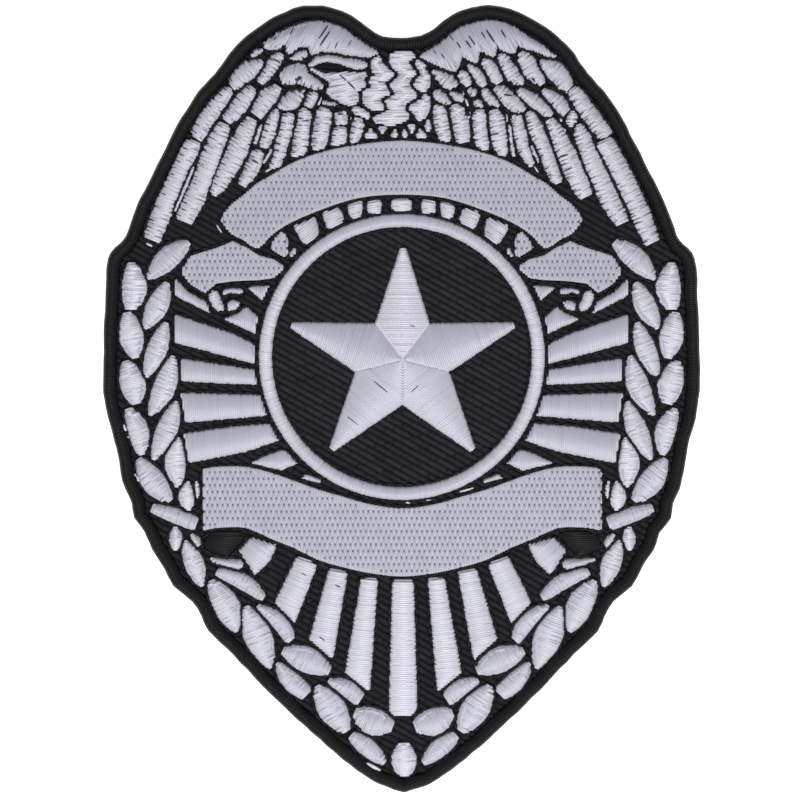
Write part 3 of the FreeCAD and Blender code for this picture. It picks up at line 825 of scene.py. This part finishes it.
class Stitching(ABC):
    """The thread over one pad. Each kind has a node, a thread, a finish and an underlay."""

    kind = "satin"
    node: str
    thread: Thread
    finish: ThreadFinish = WHITE_THREAD
    underlay: ThreadFinish = WHITE_UNDERLAY_SHADE

    @abstractmethod
    def rows(self, pad: Pad, ring_middle: np.ndarray) -> list[np.ndarray]:
        """Lays out the rows.

        Args:
            pad: the pad under the rows.
            ring_middle: the middle of the centre ring.

        Returns:
            The two ends of each row, in one array for each patch.
        """

    def build(self, pads: dict[str, Pad], ring_middle: np.ndarray) -> bpy.types.Object:
        """Builds the rows.

        Args:
            pads: the badge's pads by node.
            ring_middle: the middle of the centre ring.

        Returns:
            The piece of thread.
        """
        pad = pads[self.node]
        random = np.random.default_rng(sum(self.node.encode()))
        strands = Strands(f"{self.node}_{self.kind}", rings=2 * len(self.thread.taper) - 1)
        for rows in self.rows(pad, ring_middle):
            self.thread.lay(rows, pad, random, strands)
        FINISHES.put(pad.piece, self.underlay)
        return strands.build(self.finish)


@dataclass
class SatinPatches(Stitching):
    """The satin rows over every patch of one node."""

    node: str
    lay: Lay = Lay.ACROSS
    angle: float = 0.0
    thread: Thread = Thread()
    finish: ThreadFinish = WHITE_THREAD
    underlay: ThreadFinish = WHITE_UNDERLAY_SHADE

    def _direction(self, outline: Outline, ring_middle: np.ndarray) -> float:
        """Picks the direction of the rows in one patch.

        Args:
            outline: the patch's outline.
            ring_middle: the middle of the centre ring.

        Returns:
            The angle of the rows, in radians.
        """
        if self.lay is Lay.ACROSS:
            return outline.long_axis() + math.pi / 2
        if self.lay is Lay.AROUND:
            out = outline.points.mean(axis=0) - ring_middle
            return math.atan2(out[1], out[0]) + math.pi / 2
        return math.radians(self.angle)

    def rows(self, pad: Pad, ring_middle: np.ndarray) -> list[np.ndarray]:
        """Rows that fill each widened patch."""
        return [patch.hatch(self._direction(outline, ring_middle), self.thread.pitch)
                for outline, patch in zip(pad.outlines, pad.patches)]


@dataclass
class FilledRibbon(Stitching):
    """A ribbon filled with upright rows of short stitches, whose needle holes lie in level rows."""

    kind = "stitches"
    node: str
    column: float = 0.33 * MM
    stitch: float = 1.70 * MM
    hole: float = 0.13 * MM
    shortest: float = 0.40 * MM
    over: float = 0.05 * MM
    # The ribbon's stitches are painted darker at their ends, and darker still for running upright, as
    # painted shade.
    thread: Thread = Thread(
        pitch=0.33 * MM, cover=1.75, thickness=0.10 * MM, reach=0.0, ragged=0.0, rises=(1.02, 1.05),
        lift=0.035 * MM, crown=0.0, shoulder=(0.12 * MM, 0.30 * MM), taper=(0.55, 0.92, 1.0, 1.0),
        tone=(0.62, 0.90, 1.0, 1.0), upright_shade=0.52, foot_end_highlight=(0.0, 0.0, 0.0, 0.0))
    finish: ThreadFinish = WHITE_THREAD
    underlay: ThreadFinish = RIBBON_UNDERLAY_SHADE

    def rows(self, pad: Pad, ring_middle: np.ndarray) -> list[np.ndarray]:
        """The stitches of each patch, in upright columns."""
        return [self._stitches(outline) for outline in pad.outlines]

    def _stitches(self, outline: Outline) -> np.ndarray:
        """Cuts one patch's columns into stitches, with a needle hole between two of them.

        Args:
            outline: the patch's outline.

        Returns:
            The two ends of each stitch.
        """
        rows = []
        for low, high in outline.hatch(math.pi / 2, self.column, on_grid=True):
            odd = round(-low[0] / self.column) % 2
            first = math.ceil(low[1] / self.stitch - 0.5 * odd)
            last = math.floor(high[1] / self.stitch - 0.5 * odd)
            cuts = [(k + 0.5 * odd) * self.stitch for k in range(first, last + 1)]
            cuts = [c for c in cuts if low[1] + self.shortest < c < high[1] - self.shortest]
            starts = [low[1] - self.over] + [c + self.hole for c in cuts]
            ends = [c - self.hole for c in cuts] + [high[1] + self.over]
            rows += [((low[0], a), (low[0], b)) for a, b in zip(starts, ends)]
        return np.array(rows).reshape(-1, 2, 2)


@dataclass
class StarArms(Stitching):
    """The star: each arm is stitched square to its own length, from its tip to the star's middle."""

    node: str = "star"
    thread: Thread = Thread(crown=0.0, ragged=0.04 * MM, reach=0.10 * MM)

    def rows(self, pad: Pad, ring_middle: np.ndarray) -> list[np.ndarray]:
        """The rows of the five arms, each a kite from two notches to its tip and the star's middle."""
        middle = np.array(pad.peak.xy)
        points = pad.outlines[0].points
        far = np.linalg.norm(points - middle, axis=1)
        notches = [k for k in range(len(points)) if far[k] < min(far[k - 1], far[(k + 1) % len(points)])]
        arms = []
        for a, b in zip(notches, notches[1:] + [notches[0] + len(points)]):
            arm = [points[k % len(points)] for k in range(a, b + 1)]
            tip = np.mean(arm[1:-1], axis=0) - middle
            kite = Outline.around(np.array(arm + [middle]))
            arms.append(kite.hatch(math.atan2(tip[1], tip[0]) + math.pi / 2, self.thread.pitch))
        return arms


@dataclass
class RingRows(Stitching):
    """The narrow ring: short rows that point to its middle."""

    node: str = "center_ring"
    thread: Thread = Thread(ragged=0.04 * MM)

    def rows(self, pad: Pad, ring_middle: np.ndarray) -> list[np.ndarray]:
        """The rows from the ring's inner edge to its outer edge."""
        reach = sorted(float(np.linalg.norm(o.points - ring_middle, axis=1).mean()) for o in pad.outlines)
        count = round(math.tau * sum(reach) / 2 / self.thread.pitch)
        angles = math.tau * np.arange(count) / count
        out = np.stack([np.cos(angles), np.sin(angles)], axis=1)
        return [np.stack([ring_middle + out * reach[0], ring_middle + out * reach[1]], axis=1)]


@dataclass(frozen=True)
class Sliver:
    """One short strand by itself, from one end to the other, in millimetres."""

    x0: float
    y0: float
    x1: float
    y1: float
    width: float = 0.36


@dataclass
class LooseSlivers:
    """Short strands that lie apart from the rows of satin."""

    name: str
    slivers: tuple
    finish: ThreadFinish = THREAD_GAP
    lift: float = 0.04 * MM
    thickness: float = 0.10 * MM
    taper: tuple = (0.35, 0.85, 1.0, 0.85, 0.35)
    shares: tuple = (0.0, 0.14, 0.5, 0.86, 1.0)
    rise: tuple = (0.2, 0.8, 1.0, 0.8, 0.2)
    thinnest: float = 0.6
    tone: float = 0.9

    def build(self, ground: Callable[[np.ndarray], np.ndarray]) -> bpy.types.Object:
        """Builds the strands.

        Args:
            ground: a function that gives the height under each station.

        Returns:
            The piece of strands.
        """
        rows = np.array([((s.x0, s.y0), (s.x1, s.y1)) for s in self.slivers]) * MM
        flat, aside = straight(rows, self.shares)
        lines = raised(flat, ground(flat) + self.lift * np.array(self.rise))
        taper = np.array(self.taper)
        wide = np.array([[s.width * MM] for s in self.slivers]) * taper
        thick = np.broadcast_to(self.thickness * np.maximum(taper, self.thinnest), wide.shape)
        strands = Strands(self.name, rings=len(self.shares))
        strands.add(lines, aside, wide, thick, np.full(wide.shape, self.tone))
        return strands.build(self.finish)


def top_of(pieces: list[bpy.types.Object]) -> Callable[[np.ndarray], np.ndarray]:
    """Finds how high some pieces reach.

    Args:
        pieces: mesh objects.

    Returns:
        A function that gives the height of the highest of them at each spot.
    """
    trees = []
    for piece in pieces:
        shape = bmesh.new()
        shape.from_mesh(piece.data)
        trees.append(BVHTree.FromBMesh(shape))
        shape.free()

    def heights(spots: np.ndarray) -> np.ndarray:
        """Casts a ray down at each spot.

        Args:
            spots: places seen from above.

        Returns:
            The height there, or the cloth's where there is no piece.
        """
        found = []
        for x, y in spots.reshape(-1, 2):
            hits = [tree.ray_cast(Vector((x, y, RAY_START)), Vector((0.0, 0.0, -1.0)))[0] for tree in trees]
            found.append(max([CLOTH_TOP] + [hit.z for hit in hits if hit is not None]))
        return np.array(found).reshape(spots.shape[:-1])

    return heights


STRAY_SLIVERS = tuple(Sliver(*row) for row in (
    (-35.9, -3.2, -35.5, -4.3), (-35.4, -4.6, -35.1, -5.5), (-34.55, -8.5, -34.45, -8.9),
    (-34.5, -9.5, -33.8, -10.9), (7.3, -12.0, 9.4, -11.4, 0.3), (3.2, -13.0, 3.9, -12.9, 0.3),
    (0.3, -13.2, 1.1, -13.4, 0.3), (-4.5, -46.9, -2.7, -47.9, 0.5), (-33.0, 20.2, -32.2, 19.8),
    (-31.7, 20.3, -31.2, 20.1), (-23.9, 22.6, -23.2, 21.5, 0.25), (-14.15, 34.5, -14.2, 33.5, 0.25),
    (-16.3, 34.5, -16.0, 33.6, 0.25), (-11.4, 37.2, -11.55, 35.2, 0.25), (-10.35, 39.1, -10.8, 37.9),
    (-6.5, 36.5, -6.65, 35.8, 0.3), (-17.65, 29.4, -16.6, 29.95, 0.3), (-14.4, 32.9, -14.6, 31.9, 0.22),
    (8.8, 37.2, 8.7, 36.1), (8.25, 38.9, 8.65, 37.8), (7.85, 39.8, 8.1, 39.2, 0.3),
    (13.5, 36.9, 13.65, 35.8), (18.3, 35.7, 18.7, 34.9, 0.3), (20.5, 36.3, 20.7, 35.9),
    (20.9, 35.1, 21.3, 34.6, 0.3), (21.0, 39.9, 21.5, 39.5), (17.1, 30.2, 17.7, 29.3, 0.25),
))
DARK_SLIVERS = tuple(Sliver(*row) for row in (
    (10.9, 47.7, 12.0, 46.0, 0.30), (8.65, 46.9, 9.5, 45.7, 0.24), (8.3, 46.3, 9.0, 45.3, 0.24),
    (7.1, 46.1, 7.65, 45.3, 0.20), (10.25, 47.4, 10.8, 46.6, 0.20), (12.8, 47.7, 13.45, 46.6, 0.22),
    (5.1, 44.6, 5.6, 43.9, 0.14), (6.2, 47.0, 6.7, 46.3, 0.14), (4.1, 45.1, 4.5, 44.5, 0.12),
    (-9.45, 48.3, -10.65, 46.5, 0.24), (-9.2, 47.5, -10.55, 45.6, 0.26), (-13.9, 48.0, -14.4, 47.0, 0.18),
    (-8.2, 46.1, -8.6, 45.3, 0.14), (-6.4, 46.4, -6.9, 45.6, 0.12), (-16.1, 46.9, -16.5, 46.3, 0.18),
    (-8.0, 41.9, -7.1, 41.1, 0.20), (-7.0, 41.0, -5.95, 40.0, 0.24), (-13.7, 41.2, -12.9, 41.6, 0.60),
    (13.2, 39.3, 14.3, 39.2, 0.26), (-16.6, 44.0, -15.7, 43.4, 0.22), (-19.3, 30.95, -18.4, 30.4, 0.30),
    (20.4, 31.3, 21.5, 31.6, 0.26), (-12.9, 35.9, -11.9, 36.0, 0.16), (-8.3, 36.75, -7.6, 36.75, 0.14),
    (-3.0, 41.0, -2.3, 40.95, 0.16), (11.6, 34.2, 12.6, 34.3, 0.18), (20.9, 29.4, 22.0, 29.9, 0.20),
    (-11.6, 36.7, -11.5, 35.3, 0.10), (16.9, 41.5, 17.2, 41.0, 0.30), (-8.6, -23.9, -7.9, -24.2, 0.18),
    (-12.9, -22.4, -12.3, -22.7, 0.16), (-10.6, -30.6, -9.9, -31.1, 0.14), (1.1, 9.6, 1.7, 9.4, 0.10),
    (-3.6, 2.4, -1.8, 0.9, 0.14), (-7.0, -2.2, -5.6, -3.3, 0.12), (1.2, 0.9, 2.2, 1.8, 0.12),
))


@dataclass
class SatinBorder:
    """Black satin wrapped over the cloth's cut edge, from the front round to the back."""

    step: float = 0.30 * MM
    cover: float = 1.30
    thickness: float = 0.22 * MM
    smoothing: int = 5
    sway: float = 0.05 * MM
    wave: float = 1.3 * MM
    wave_depth: float = 0.07 * MM
    uneven: float = 0.012 * MM
    insets: tuple = (1.66, 1.50, 1.12, 0.74, 0.34, 0.04, 0.00, 0.22)
    heights: tuple = (1.04, 1.38, 1.80, 1.92, 1.82, 1.36, 0.62, 0.14)
    taper: tuple = (0.6, 0.9, 1.0, 1.0, 1.0, 1.0, 1.0, 0.8)
    width_range: tuple = (0.94, 1.06)
    painted_edge_shade: tuple = (0.2, 0.6, 0.9, 1.0, 1.0, 0.8, 0.6, 0.4)
    tone_range: tuple = (0.75, 1.0)
    seed: int = 11

    def build(self, shield: Outline) -> bpy.types.Object:
        """Builds the border's rows.

        Args:
            shield: the outer edge of the badge.

        Returns:
            The piece of satin rows.
        """
        random = np.random.default_rng(self.seed)
        stops, outward = shield.evenly(self.step, self.smoothing)
        count = len(stops)
        inset = np.array(self.insets) * MM
        sway = self.sway * random.uniform(-1.0, 1.0, (count, 1)) * (np.arange(len(inset)) == 0)
        beats = round(count * self.step / self.wave)
        drift = self.wave_depth * random.uniform(-1.0, 1.0, beats)
        along = np.arange(count) * beats / count
        sway = sway + np.interp(along, np.arange(beats), drift, period=beats)[:, None]
        flat = stops[:, None] - outward[:, None] * (inset + sway)[..., None]
        rise = np.array(self.heights) * MM + self.uneven * random.standard_normal((count, 1))
        aside = np.stack([-outward[:, 1], outward[:, 0], np.zeros(count)], axis=1)
        wide = self.step * self.cover * np.array(self.taper) * random.uniform(*self.width_range, (count, 1))
        thick = np.broadcast_to(self.thickness, wide.shape)
        # Painted shade: the border's rows are darker at the inner edge where they meet the cloth, and round
        # the back.
        tone = np.array(self.painted_edge_shade) * random.uniform(*self.tone_range, (count, 1))
        strands = Strands("border_satin", rings=len(inset))
        strands.add(raised(flat, rise), aside, wide, thick, tone)
        FINISHES.put(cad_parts["border"], BLACK_THREAD)
        return strands.build(BLACK_THREAD)


@dataclass
class OutlineStitches:
    """The line of black running stitch that hugs every patch."""

    away: float = 0.24 * MM
    stitch: float = 1.25 * MM
    shortest: float = 0.1 * MM
    width: float = 0.42 * MM
    thickness: float = 0.30 * MM
    height: float = 0.20 * MM
    uneven: float = 0.02 * MM
    border_reach: float = 0.98 * MM
    shares: tuple = (-0.03, 0.15, 0.5, 0.85, 1.03)
    rise: tuple = (0.3, 0.85, 1.0, 0.85, 0.3)
    dips: tuple = (0.55, 0.9, 1.0, 0.9, 0.55)
    width_range: tuple = (0.9, 1.1)
    tone_range: tuple = (0.7, 1.0)
    seed: int = 23

    def build(self, pads: dict[str, Pad], cloth: Outline) -> bpy.types.Object:
        """Builds the running stitches.

        Args:
            pads: the badge's pads by node.
            cloth: the outline of the ground cloth.

        Returns:
            The piece of stitches.
        """
        random = np.random.default_rng(self.seed)
        strands = Strands("outline_stitches", rings=len(self.shares))
        field = cloth.grown(-self.border_reach)
        outlines = [o for pad in pads.values() for o in pad.patches]
        for outline in outlines:
            hole = any(o is not outline and o.contains(outline.points[:1])[0] for o in outlines)
            path = outline.grown(-self.away if hole else self.away)
            stops, _ = path.evenly(self.stitch)
            self._lay(np.stack([stops, np.roll(stops, -1, axis=0)], axis=1), field, random, strands)
        return strands.build(BLACK_THREAD)

    def _lay(self, rows: np.ndarray, field: Outline, random: np.random.Generator, strands: Strands) -> None:
        """Lays the stitches of one line, apart from those that would lie on the border.

        Args:
            rows: the two ends of each stitch.
            field: the area inside the border.
            random: the source of unevenness.
            strands: where the stitches go.
        """
        rows = rows[field.contains(rows.mean(axis=1)) & (lengths_of(rows) > self.shortest)]
        count = len(rows)
        if not count:
            return
        flat, aside = straight(rows, self.shares)
        rise = CLOTH_TOP + self.height * np.array(self.rise)
        rise = rise + self.uneven * random.standard_normal((count, 1))
        dips = np.array(self.dips)
        wide = self.width * dips * random.uniform(*self.width_range, (count, 1))
        thick = np.broadcast_to(self.thickness * dips, wide.shape)
        # Painted shade: each stitch is darker at its ends, where it dips into the cloth.
        tone = dips * random.uniform(*self.tone_range, (count, 1))
        strands.add(raised(flat, rise), aside, wide, thick, tone)


@dataclass
class TwillGround:
    """The black twill cloth, with its slanting ribs wherever it shows between the stitching."""

    angle: float = -29.0
    rib: float = 0.80 * MM
    rib_cover: float = 0.86
    float_length: float = 2.60 * MM
    float_starts: int = 3
    shortest: float = 0.2
    thickness: float = 0.36 * MM
    hidden_by: float = 0.35 * MM
    border_reach: float = 0.85 * MM
    height: float = 0.02 * MM
    uneven: float = 0.015 * MM
    shares: tuple = (-0.05, 0.12, 0.5, 0.88, 1.05)
    fall: tuple = (-0.03, 0.0, 0.0, 0.0, -0.03)
    swell: tuple = (0.8, 1.0, 1.0, 1.0, 0.8)
    width_range: tuple = (0.95, 1.05)
    tone: tuple = (0.7, 0.95, 1.0, 0.95, 0.7)
    tone_range: tuple = (0.65, 1.0)
    dim: float = 0.75
    flat_angle: float = 1.0
    seed: int = 37

    def build(self, pads: dict[str, Pad], cloth: Outline) -> list[bpy.types.Object]:
        """Builds the cloth and its ribs.

        Args:
            pads: the badge's pads by node.
            cloth: the outline of the ground cloth.

        Returns:
            The cloth and the ribs.
        """
        sheet = self._sheet()
        ribs = self._ribs(pads, cloth)
        low, high = cloth.points.min(axis=0), cloth.points.max(axis=0)
        tuple(high - low)
        cloth.area()
        return [sheet, ribs]

    def _sheet(self) -> bpy.types.Object:
        """Makes the cloth itself, a merged copy of its CAD solid.

        Returns:
            The cloth.
        """
        shape = bmesh.new()
        shape.from_mesh(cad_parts["ground_cloth"].data)
        bmesh.ops.remove_doubles(shape, verts=shape.verts, dist=MERGE_REACH)
        flat = math.radians(self.flat_angle)
        bmesh.ops.dissolve_limit(shape, angle_limit=flat, verts=shape.verts, edges=shape.edges)
        mesh = bpy.data.meshes.new("twill_cloth")
        shape.to_mesh(mesh)
        shape.free()
        piece = FINISHES.put(placed("twill_cloth", mesh), TWILL_CLOTH)
        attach(piece, "root")
        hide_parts("ground_cloth")
        return piece

    def _floats(self, field: Outline) -> np.ndarray:
        """Cuts each rib into a chain of floats, and each rib starts a third later than the one before.

        Args:
            field: the area that the ribs cover.

        Returns:
            The two ends of each float.
        """
        slant = math.radians(self.angle)
        along = np.array([math.cos(slant), math.sin(slant)])
        length = self.float_length
        rows = []
        for index, (first, last) in enumerate(field.hatch(slant, self.rib)):
            start, end = first @ along, last @ along
            shift = (index % self.float_starts) / self.float_starts * length
            aside = first - start * along
            cuts = np.arange(math.ceil((start - shift) / length) * length + shift, end, length)
            cuts = np.concatenate([[start], cuts, [end]])
            for a, b in zip(cuts, cuts[1:]):
                if b - a > self.shortest * length:
                    rows.append((aside + a * along, aside + b * along))
        return np.array(rows)

    def _ribs(self, pads: dict[str, Pad], cloth: Outline) -> bpy.types.Object:
        """Makes the ribs, left out where a pad hides them.

        Args:
            pads: the badge's pads by node.
            cloth: the outline of the ground cloth.

        Returns:
            The piece of ribs.
        """
        random = np.random.default_rng(self.seed)
        rows = self._floats(cloth.grown(-self.border_reach))
        middle = rows.mean(axis=1)
        hidden = np.zeros(len(rows), bool)
        for outline in (o for node, pad in pads.items() if node != "center_ring" for o in pad.outlines):
            inner = outline.grown(-self.hidden_by)
            hidden |= outline.contains(middle) & inner.contains(middle)
        rows = rows[~hidden]
        count = len(rows)
        flat, aside = straight(rows, self.shares)
        rise = CLOTH_TOP + self.height + np.array(self.fall) * MM
        rise = rise + self.uneven * random.standard_normal((count, 1))
        swell = np.array(self.swell) * random.uniform(*self.width_range, (count, 1))
        wide = self.rib_cover * self.rib * swell
        thick = np.broadcast_to(self.thickness, wide.shape)
        # Painted shade: each float is darker at its ends, where it dips under the cloth; the random spread
        # is the yarn's own tone.
        tone = np.array(self.tone) * random.uniform(*self.tone_range, (count, 1))
        in_ring = pads["center_ring"].outlines[0].contains(rows.mean(axis=1))
        tone = tone * np.where(in_ring, 1.0, self.dim)[:, None]
        strands = Strands("twill_ribs", rings=len(self.shares))
        strands.add(raised(flat, rise), aside, wide, thick, tone)
        return strands.build(TWILL_YARN)


@dataclass
class Studio:
    """The white table, the soft lamps and the camera straight above the badge."""

    image_pixels: float = 800.0
    badge_pixels: float = 787.0
    badge_height: float = 101.6 * MM
    middle_pixel: tuple = (401.5, 399.5)
    lens: float = 110.0
    sensor: float = 36.0
    focus: float = 1.4 * MM
    nearest: float = 10.0 * MM
    table: float = 4.0
    table_cells: int = 8
    table_gap: float = 0.02 * MM
    key_place: tuple = (0.03, -0.29, 0.47)
    key_size: float = 0.22
    key_power: float = 1.92
    fill_place: tuple = (-0.25, 0.30, 0.50)
    fill_size: float = 0.50
    fill_power: float = 0.10
    sky: float = 0.36

    def build(self) -> None:
        """Builds the table, the lamps, the sky and the camera."""
        self._table()
        self._lamp("key_lamp", self.key_place, self.key_size, self.key_power)
        self._lamp("fill_lamp", self.fill_place, self.fill_size, self.fill_power)
        self._sky()
        self._camera()
        view = bpy.context.scene.view_settings
        view.view_transform = "Standard"
        view.look = "None"

    def _table(self) -> None:
        """The flat table top, a little below the cloth's back."""
        shape = bmesh.new()
        cells = self.table_cells
        bmesh.ops.create_grid(shape, x_segments=cells, y_segments=cells, size=self.table / 2)
        bmesh.ops.translate(shape, verts=shape.verts, vec=(0.0, 0.0, -self.table_gap))
        mesh = bpy.data.meshes.new("table_top")
        shape.to_mesh(mesh)
        shape.free()
        floor = FINISHES.put(placed("table_top", mesh), FloorFinish())

    def _lamp(self, name: str, place: tuple, size: float, power: float) -> None:
        """Adds one square soft lamp that faces the badge.

        Args:
            name: the lamp's name.
            place: where it hangs, in metres.
            size: the length of its side.
            power: its power, in watts.
        """
        lamp = bpy.data.lights.new(name, "AREA")
        lamp.shape = "SQUARE"
        lamp.size = size
        lamp.energy = power
        piece = placed(name, lamp)
        piece.location = place
        piece.rotation_euler = (-Vector(place)).to_track_quat("-Z", "Y").to_euler()

    def _sky(self) -> None:
        """An even white surround."""
        world = bpy.data.worlds.new("studio")
        world.use_nodes = True
        sky = world.node_tree.nodes["Background"]
        sky.inputs["Color"].default_value = (1.0, 1.0, 1.0, 1.0)
        sky.inputs["Strength"].default_value = self.sky
        bpy.context.scene.world = world

    def _camera(self) -> None:
        """The camera, set so that the badge fills the frame as it does in the photo."""
        metres_per_pixel = self.badge_height / self.badge_pixels
        half_angle = math.atan(self.sensor / 2 / self.lens)
        distance = self.image_pixels * metres_per_pixel / 2 / math.tan(half_angle)
        half = self.image_pixels / 2
        data = bpy.data.cameras.new("camera")
        data.lens = self.lens
        data.sensor_width = self.sensor
        data.clip_start = self.nearest
        piece = placed("camera", data)
        piece.location = (
            (half - self.middle_pixel[0]) * metres_per_pixel,
            (self.middle_pixel[1] - half) * metres_per_pixel,
            distance + self.focus,
        )
        bpy.context.scene.camera = piece


FEATHER_THREAD = Thread(ragged=0.10 * MM, short_share=0.03, pinch=0.03 * MM, cover=1.76, faint_share=0.03)
LEAF_THREAD = Thread(ragged=0.05 * MM, pinch=0.01 * MM, cover=1.76, faint_share=0.03, crown=0.035)
# The crest's upright rows get a stronger painted shade.
CREST_THREAD = Thread(ragged=0.10 * MM, pinch=0.03 * MM, cover=1.70, upright_shade=0.66)
RAY_THREAD = Thread(ragged=0.07 * MM, crown=0.03)
BLACK_SATIN = {"finish": BLACK_THREAD, "underlay": BLACK_THREAD}
STRAY_LIFT = 0.16 * MM
STRAY_THICKNESS = 0.26 * MM
DARK_SLIVER_NODES = ("wing", "eagle", "star", "bottom_rays")
NOTCH_SEED = 53
NOTCHES = {
    "wing_feathers_left": (0.95, 0.95 * MM),
    "wing_coverts_left": (0.85, 0.75 * MM),
    "wing_feathers_right": (0.75, 0.60 * MM),
    "wing_coverts_right": (0.40, 0.45 * MM),
}
NOTCH_STEP = 0.92 * MM
NOTCH_OUTSIDE = 0.12 * MM
NOTCH_WIDTH = 0.22
NOTCH_WIDTHS = (0.7, 1.1)
NOTCH_DEPTHS = (0.45, 1.0)
NOTCH_LIMIT = 0.45
NOTCH_TAPER = (1.0, 1.0, 0.85, 0.60, 0.20)
PATCH_GAP = 0.36 * MM
REACHES = {
    "wing_feathers": 0.26 * MM,
    "wing_coverts": 0.26 * MM,
    "eagle_neck": 0.24 * MM,
    "eagle_face": 0.16 * MM,
    "eagle_brow": 0.14 * MM,
    "breast_tufts": 0.20 * MM,
    "wing_crest": 0.14 * MM,
    "laurel": 0.22 * MM,
    "ribbon": 0.08 * MM,
    "top_rays": 0.12 * MM,
    "bottom_rays": 0.08 * MM,
}


def widen_patches(pads: dict[str, Pad], cloth: Outline) -> None:
    """Widens the satin of the leaves and feathers until only a line of black stays between them.

    Args:
        pads: the badge's pads by node.
        cloth: the outline of the ground cloth.
    """
    lines = [outline for pad in pads.values() for outline in pad.outlines] + [cloth.grown(-BORDER_EDGE)]
    spots = [line.evenly(EDGE_STEP)[0] for line in lines]
    owners = np.concatenate([np.full(len(group), number) for number, group in enumerate(spots)])
    edges = np.concatenate(spots)
    first = 0
    for node, pad in pads.items():
        for name, reach in REACHES.items():
            if node.startswith(name):
                pad.widen(reach, PATCH_GAP, edges, owners, first)
        first += len(pad.outlines)


def feather_notches(pads: dict[str, Pad]) -> tuple[Sliver, ...]:
    """The dark nicks at the left edge of each feather, where cloth shows between two rows.

    Args:
        pads: the badge's pads by node.

    Returns:
        One sliver for each nick.
    """
    random = np.random.default_rng(NOTCH_SEED)
    notches = []
    for node, (share, longest) in NOTCHES.items():
        for outline, patch in zip(pads[node].outlines, pads[node].patches):
            for row in patch.hatch(outline.long_axis() + math.pi / 2, NOTCH_STEP):
                left, right = row[np.argsort(row[:, 0])]
                length = float(np.linalg.norm(right - left))
                ahead = (right - left) / length
                deep = min(longest * random.uniform(*NOTCH_DEPTHS), NOTCH_LIMIT * length)
                if random.random() < share:
                    ends = np.concatenate([left - ahead * NOTCH_OUTSIDE, left + ahead * deep]) / MM
                    notches.append(Sliver(*ends, NOTCH_WIDTH * random.uniform(*NOTCH_WIDTHS)))
    return tuple(notches)


def both(name: str) -> tuple[str, str]:
    """The left and the right node of a pair."""
    return name + "_left", name + "_right"


def stitched_parts() -> list[Stitching]:
    """Lists how each pad of the badge is stitched.

    Returns:
        The stitching of every pad, in the order in which it is built.
    """
    parts: list[Stitching] = [StarArms(), RingRows()]
    parts += [FilledRibbon(node) for node in ("upper_ribbon", "lower_ribbon")]
    parts += [FilledRibbon(node) for node in both("ribbon_tail") + both("ribbon_return")]
    parts += [SatinPatches(node) for node in both("ribbon_curl")]
    parts += [SatinPatches(node, Lay.ANGLE, 0.0, **BLACK_SATIN) for node in both("ribbon_shadow")]
    parts += [SatinPatches(node, Lay.ANGLE, 90.0, thread=RAY_THREAD) for node in both("side_rays")]
    parts += [SatinPatches("top_rays", Lay.AROUND, thread=RAY_THREAD)]
    parts += [SatinPatches("bottom_rays", thread=RAY_THREAD)]
    for name in ("laurel_outer", "laurel_inner", "laurel_folded", "laurel_stems"):
        parts += [SatinPatches(node, thread=LEAF_THREAD) for node in both(name)]
    parts += [SatinPatches("laurel_bud", thread=LEAF_THREAD)]
    parts += [SatinPatches("wing_crest_left", Lay.ANGLE, 62.0, thread=CREST_THREAD)]
    parts += [SatinPatches("wing_crest_right", Lay.ANGLE, 118.0, thread=CREST_THREAD)]
    for name in ("wing_coverts", "wing_feathers"):
        parts += [SatinPatches(node, thread=FEATHER_THREAD) for node in both(name)]
    parts += [SatinPatches("eagle_brow", Lay.ANGLE, 90.0)]
    parts += [SatinPatches("eagle_eye", **BLACK_SATIN)]
    parts += [SatinPatches("eagle_face", Lay.ANGLE, 12.0)]
    parts += [SatinPatches("eagle_neck", Lay.ANGLE, 0.0)]
    parts += [SatinPatches("breast_tufts", Lay.ANGLE, 0.0)]
    return parts


def main() -> None:
    """Builds the badge's looks in order and reports each piece."""
    logging.basicConfig(level=logging.INFO, format="%(message)s")
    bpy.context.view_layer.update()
    Studio().build()
    names = [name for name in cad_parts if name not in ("ground_cloth", "border")]
    pads = {name: Pad(name) for name in sorted(names)}
    cloth = Pad("ground_cloth").outlines[0]
    widen_patches(pads, cloth)
    ring_middle = pads["center_ring"].outlines[0].evenly(RING_STEP)[0].mean(axis=0)
    stitched = {part.node: part.build(pads, ring_middle) for part in stitched_parts()}
    marked = [stitched[node] for node in stitched if node.startswith(DARK_SLIVER_NODES)]
    edging = SatinBorder().build(cloth.grown(CLOTH_INSET))
    LooseSlivers("stray_slivers", STRAY_SLIVERS, WHITE_THREAD, STRAY_LIFT, STRAY_THICKNESS).build(
        top_of([edging]))
    surface = top_of(marked)
    LooseSlivers("dark_slivers", DARK_SLIVERS).build(surface)
    LooseSlivers("feather_notches", feather_notches(pads), taper=NOTCH_TAPER).build(surface)
    OutlineStitches().build(pads, cloth)
    TwillGround().build(pads, cloth)


if __name__ == "__main__":
    main()
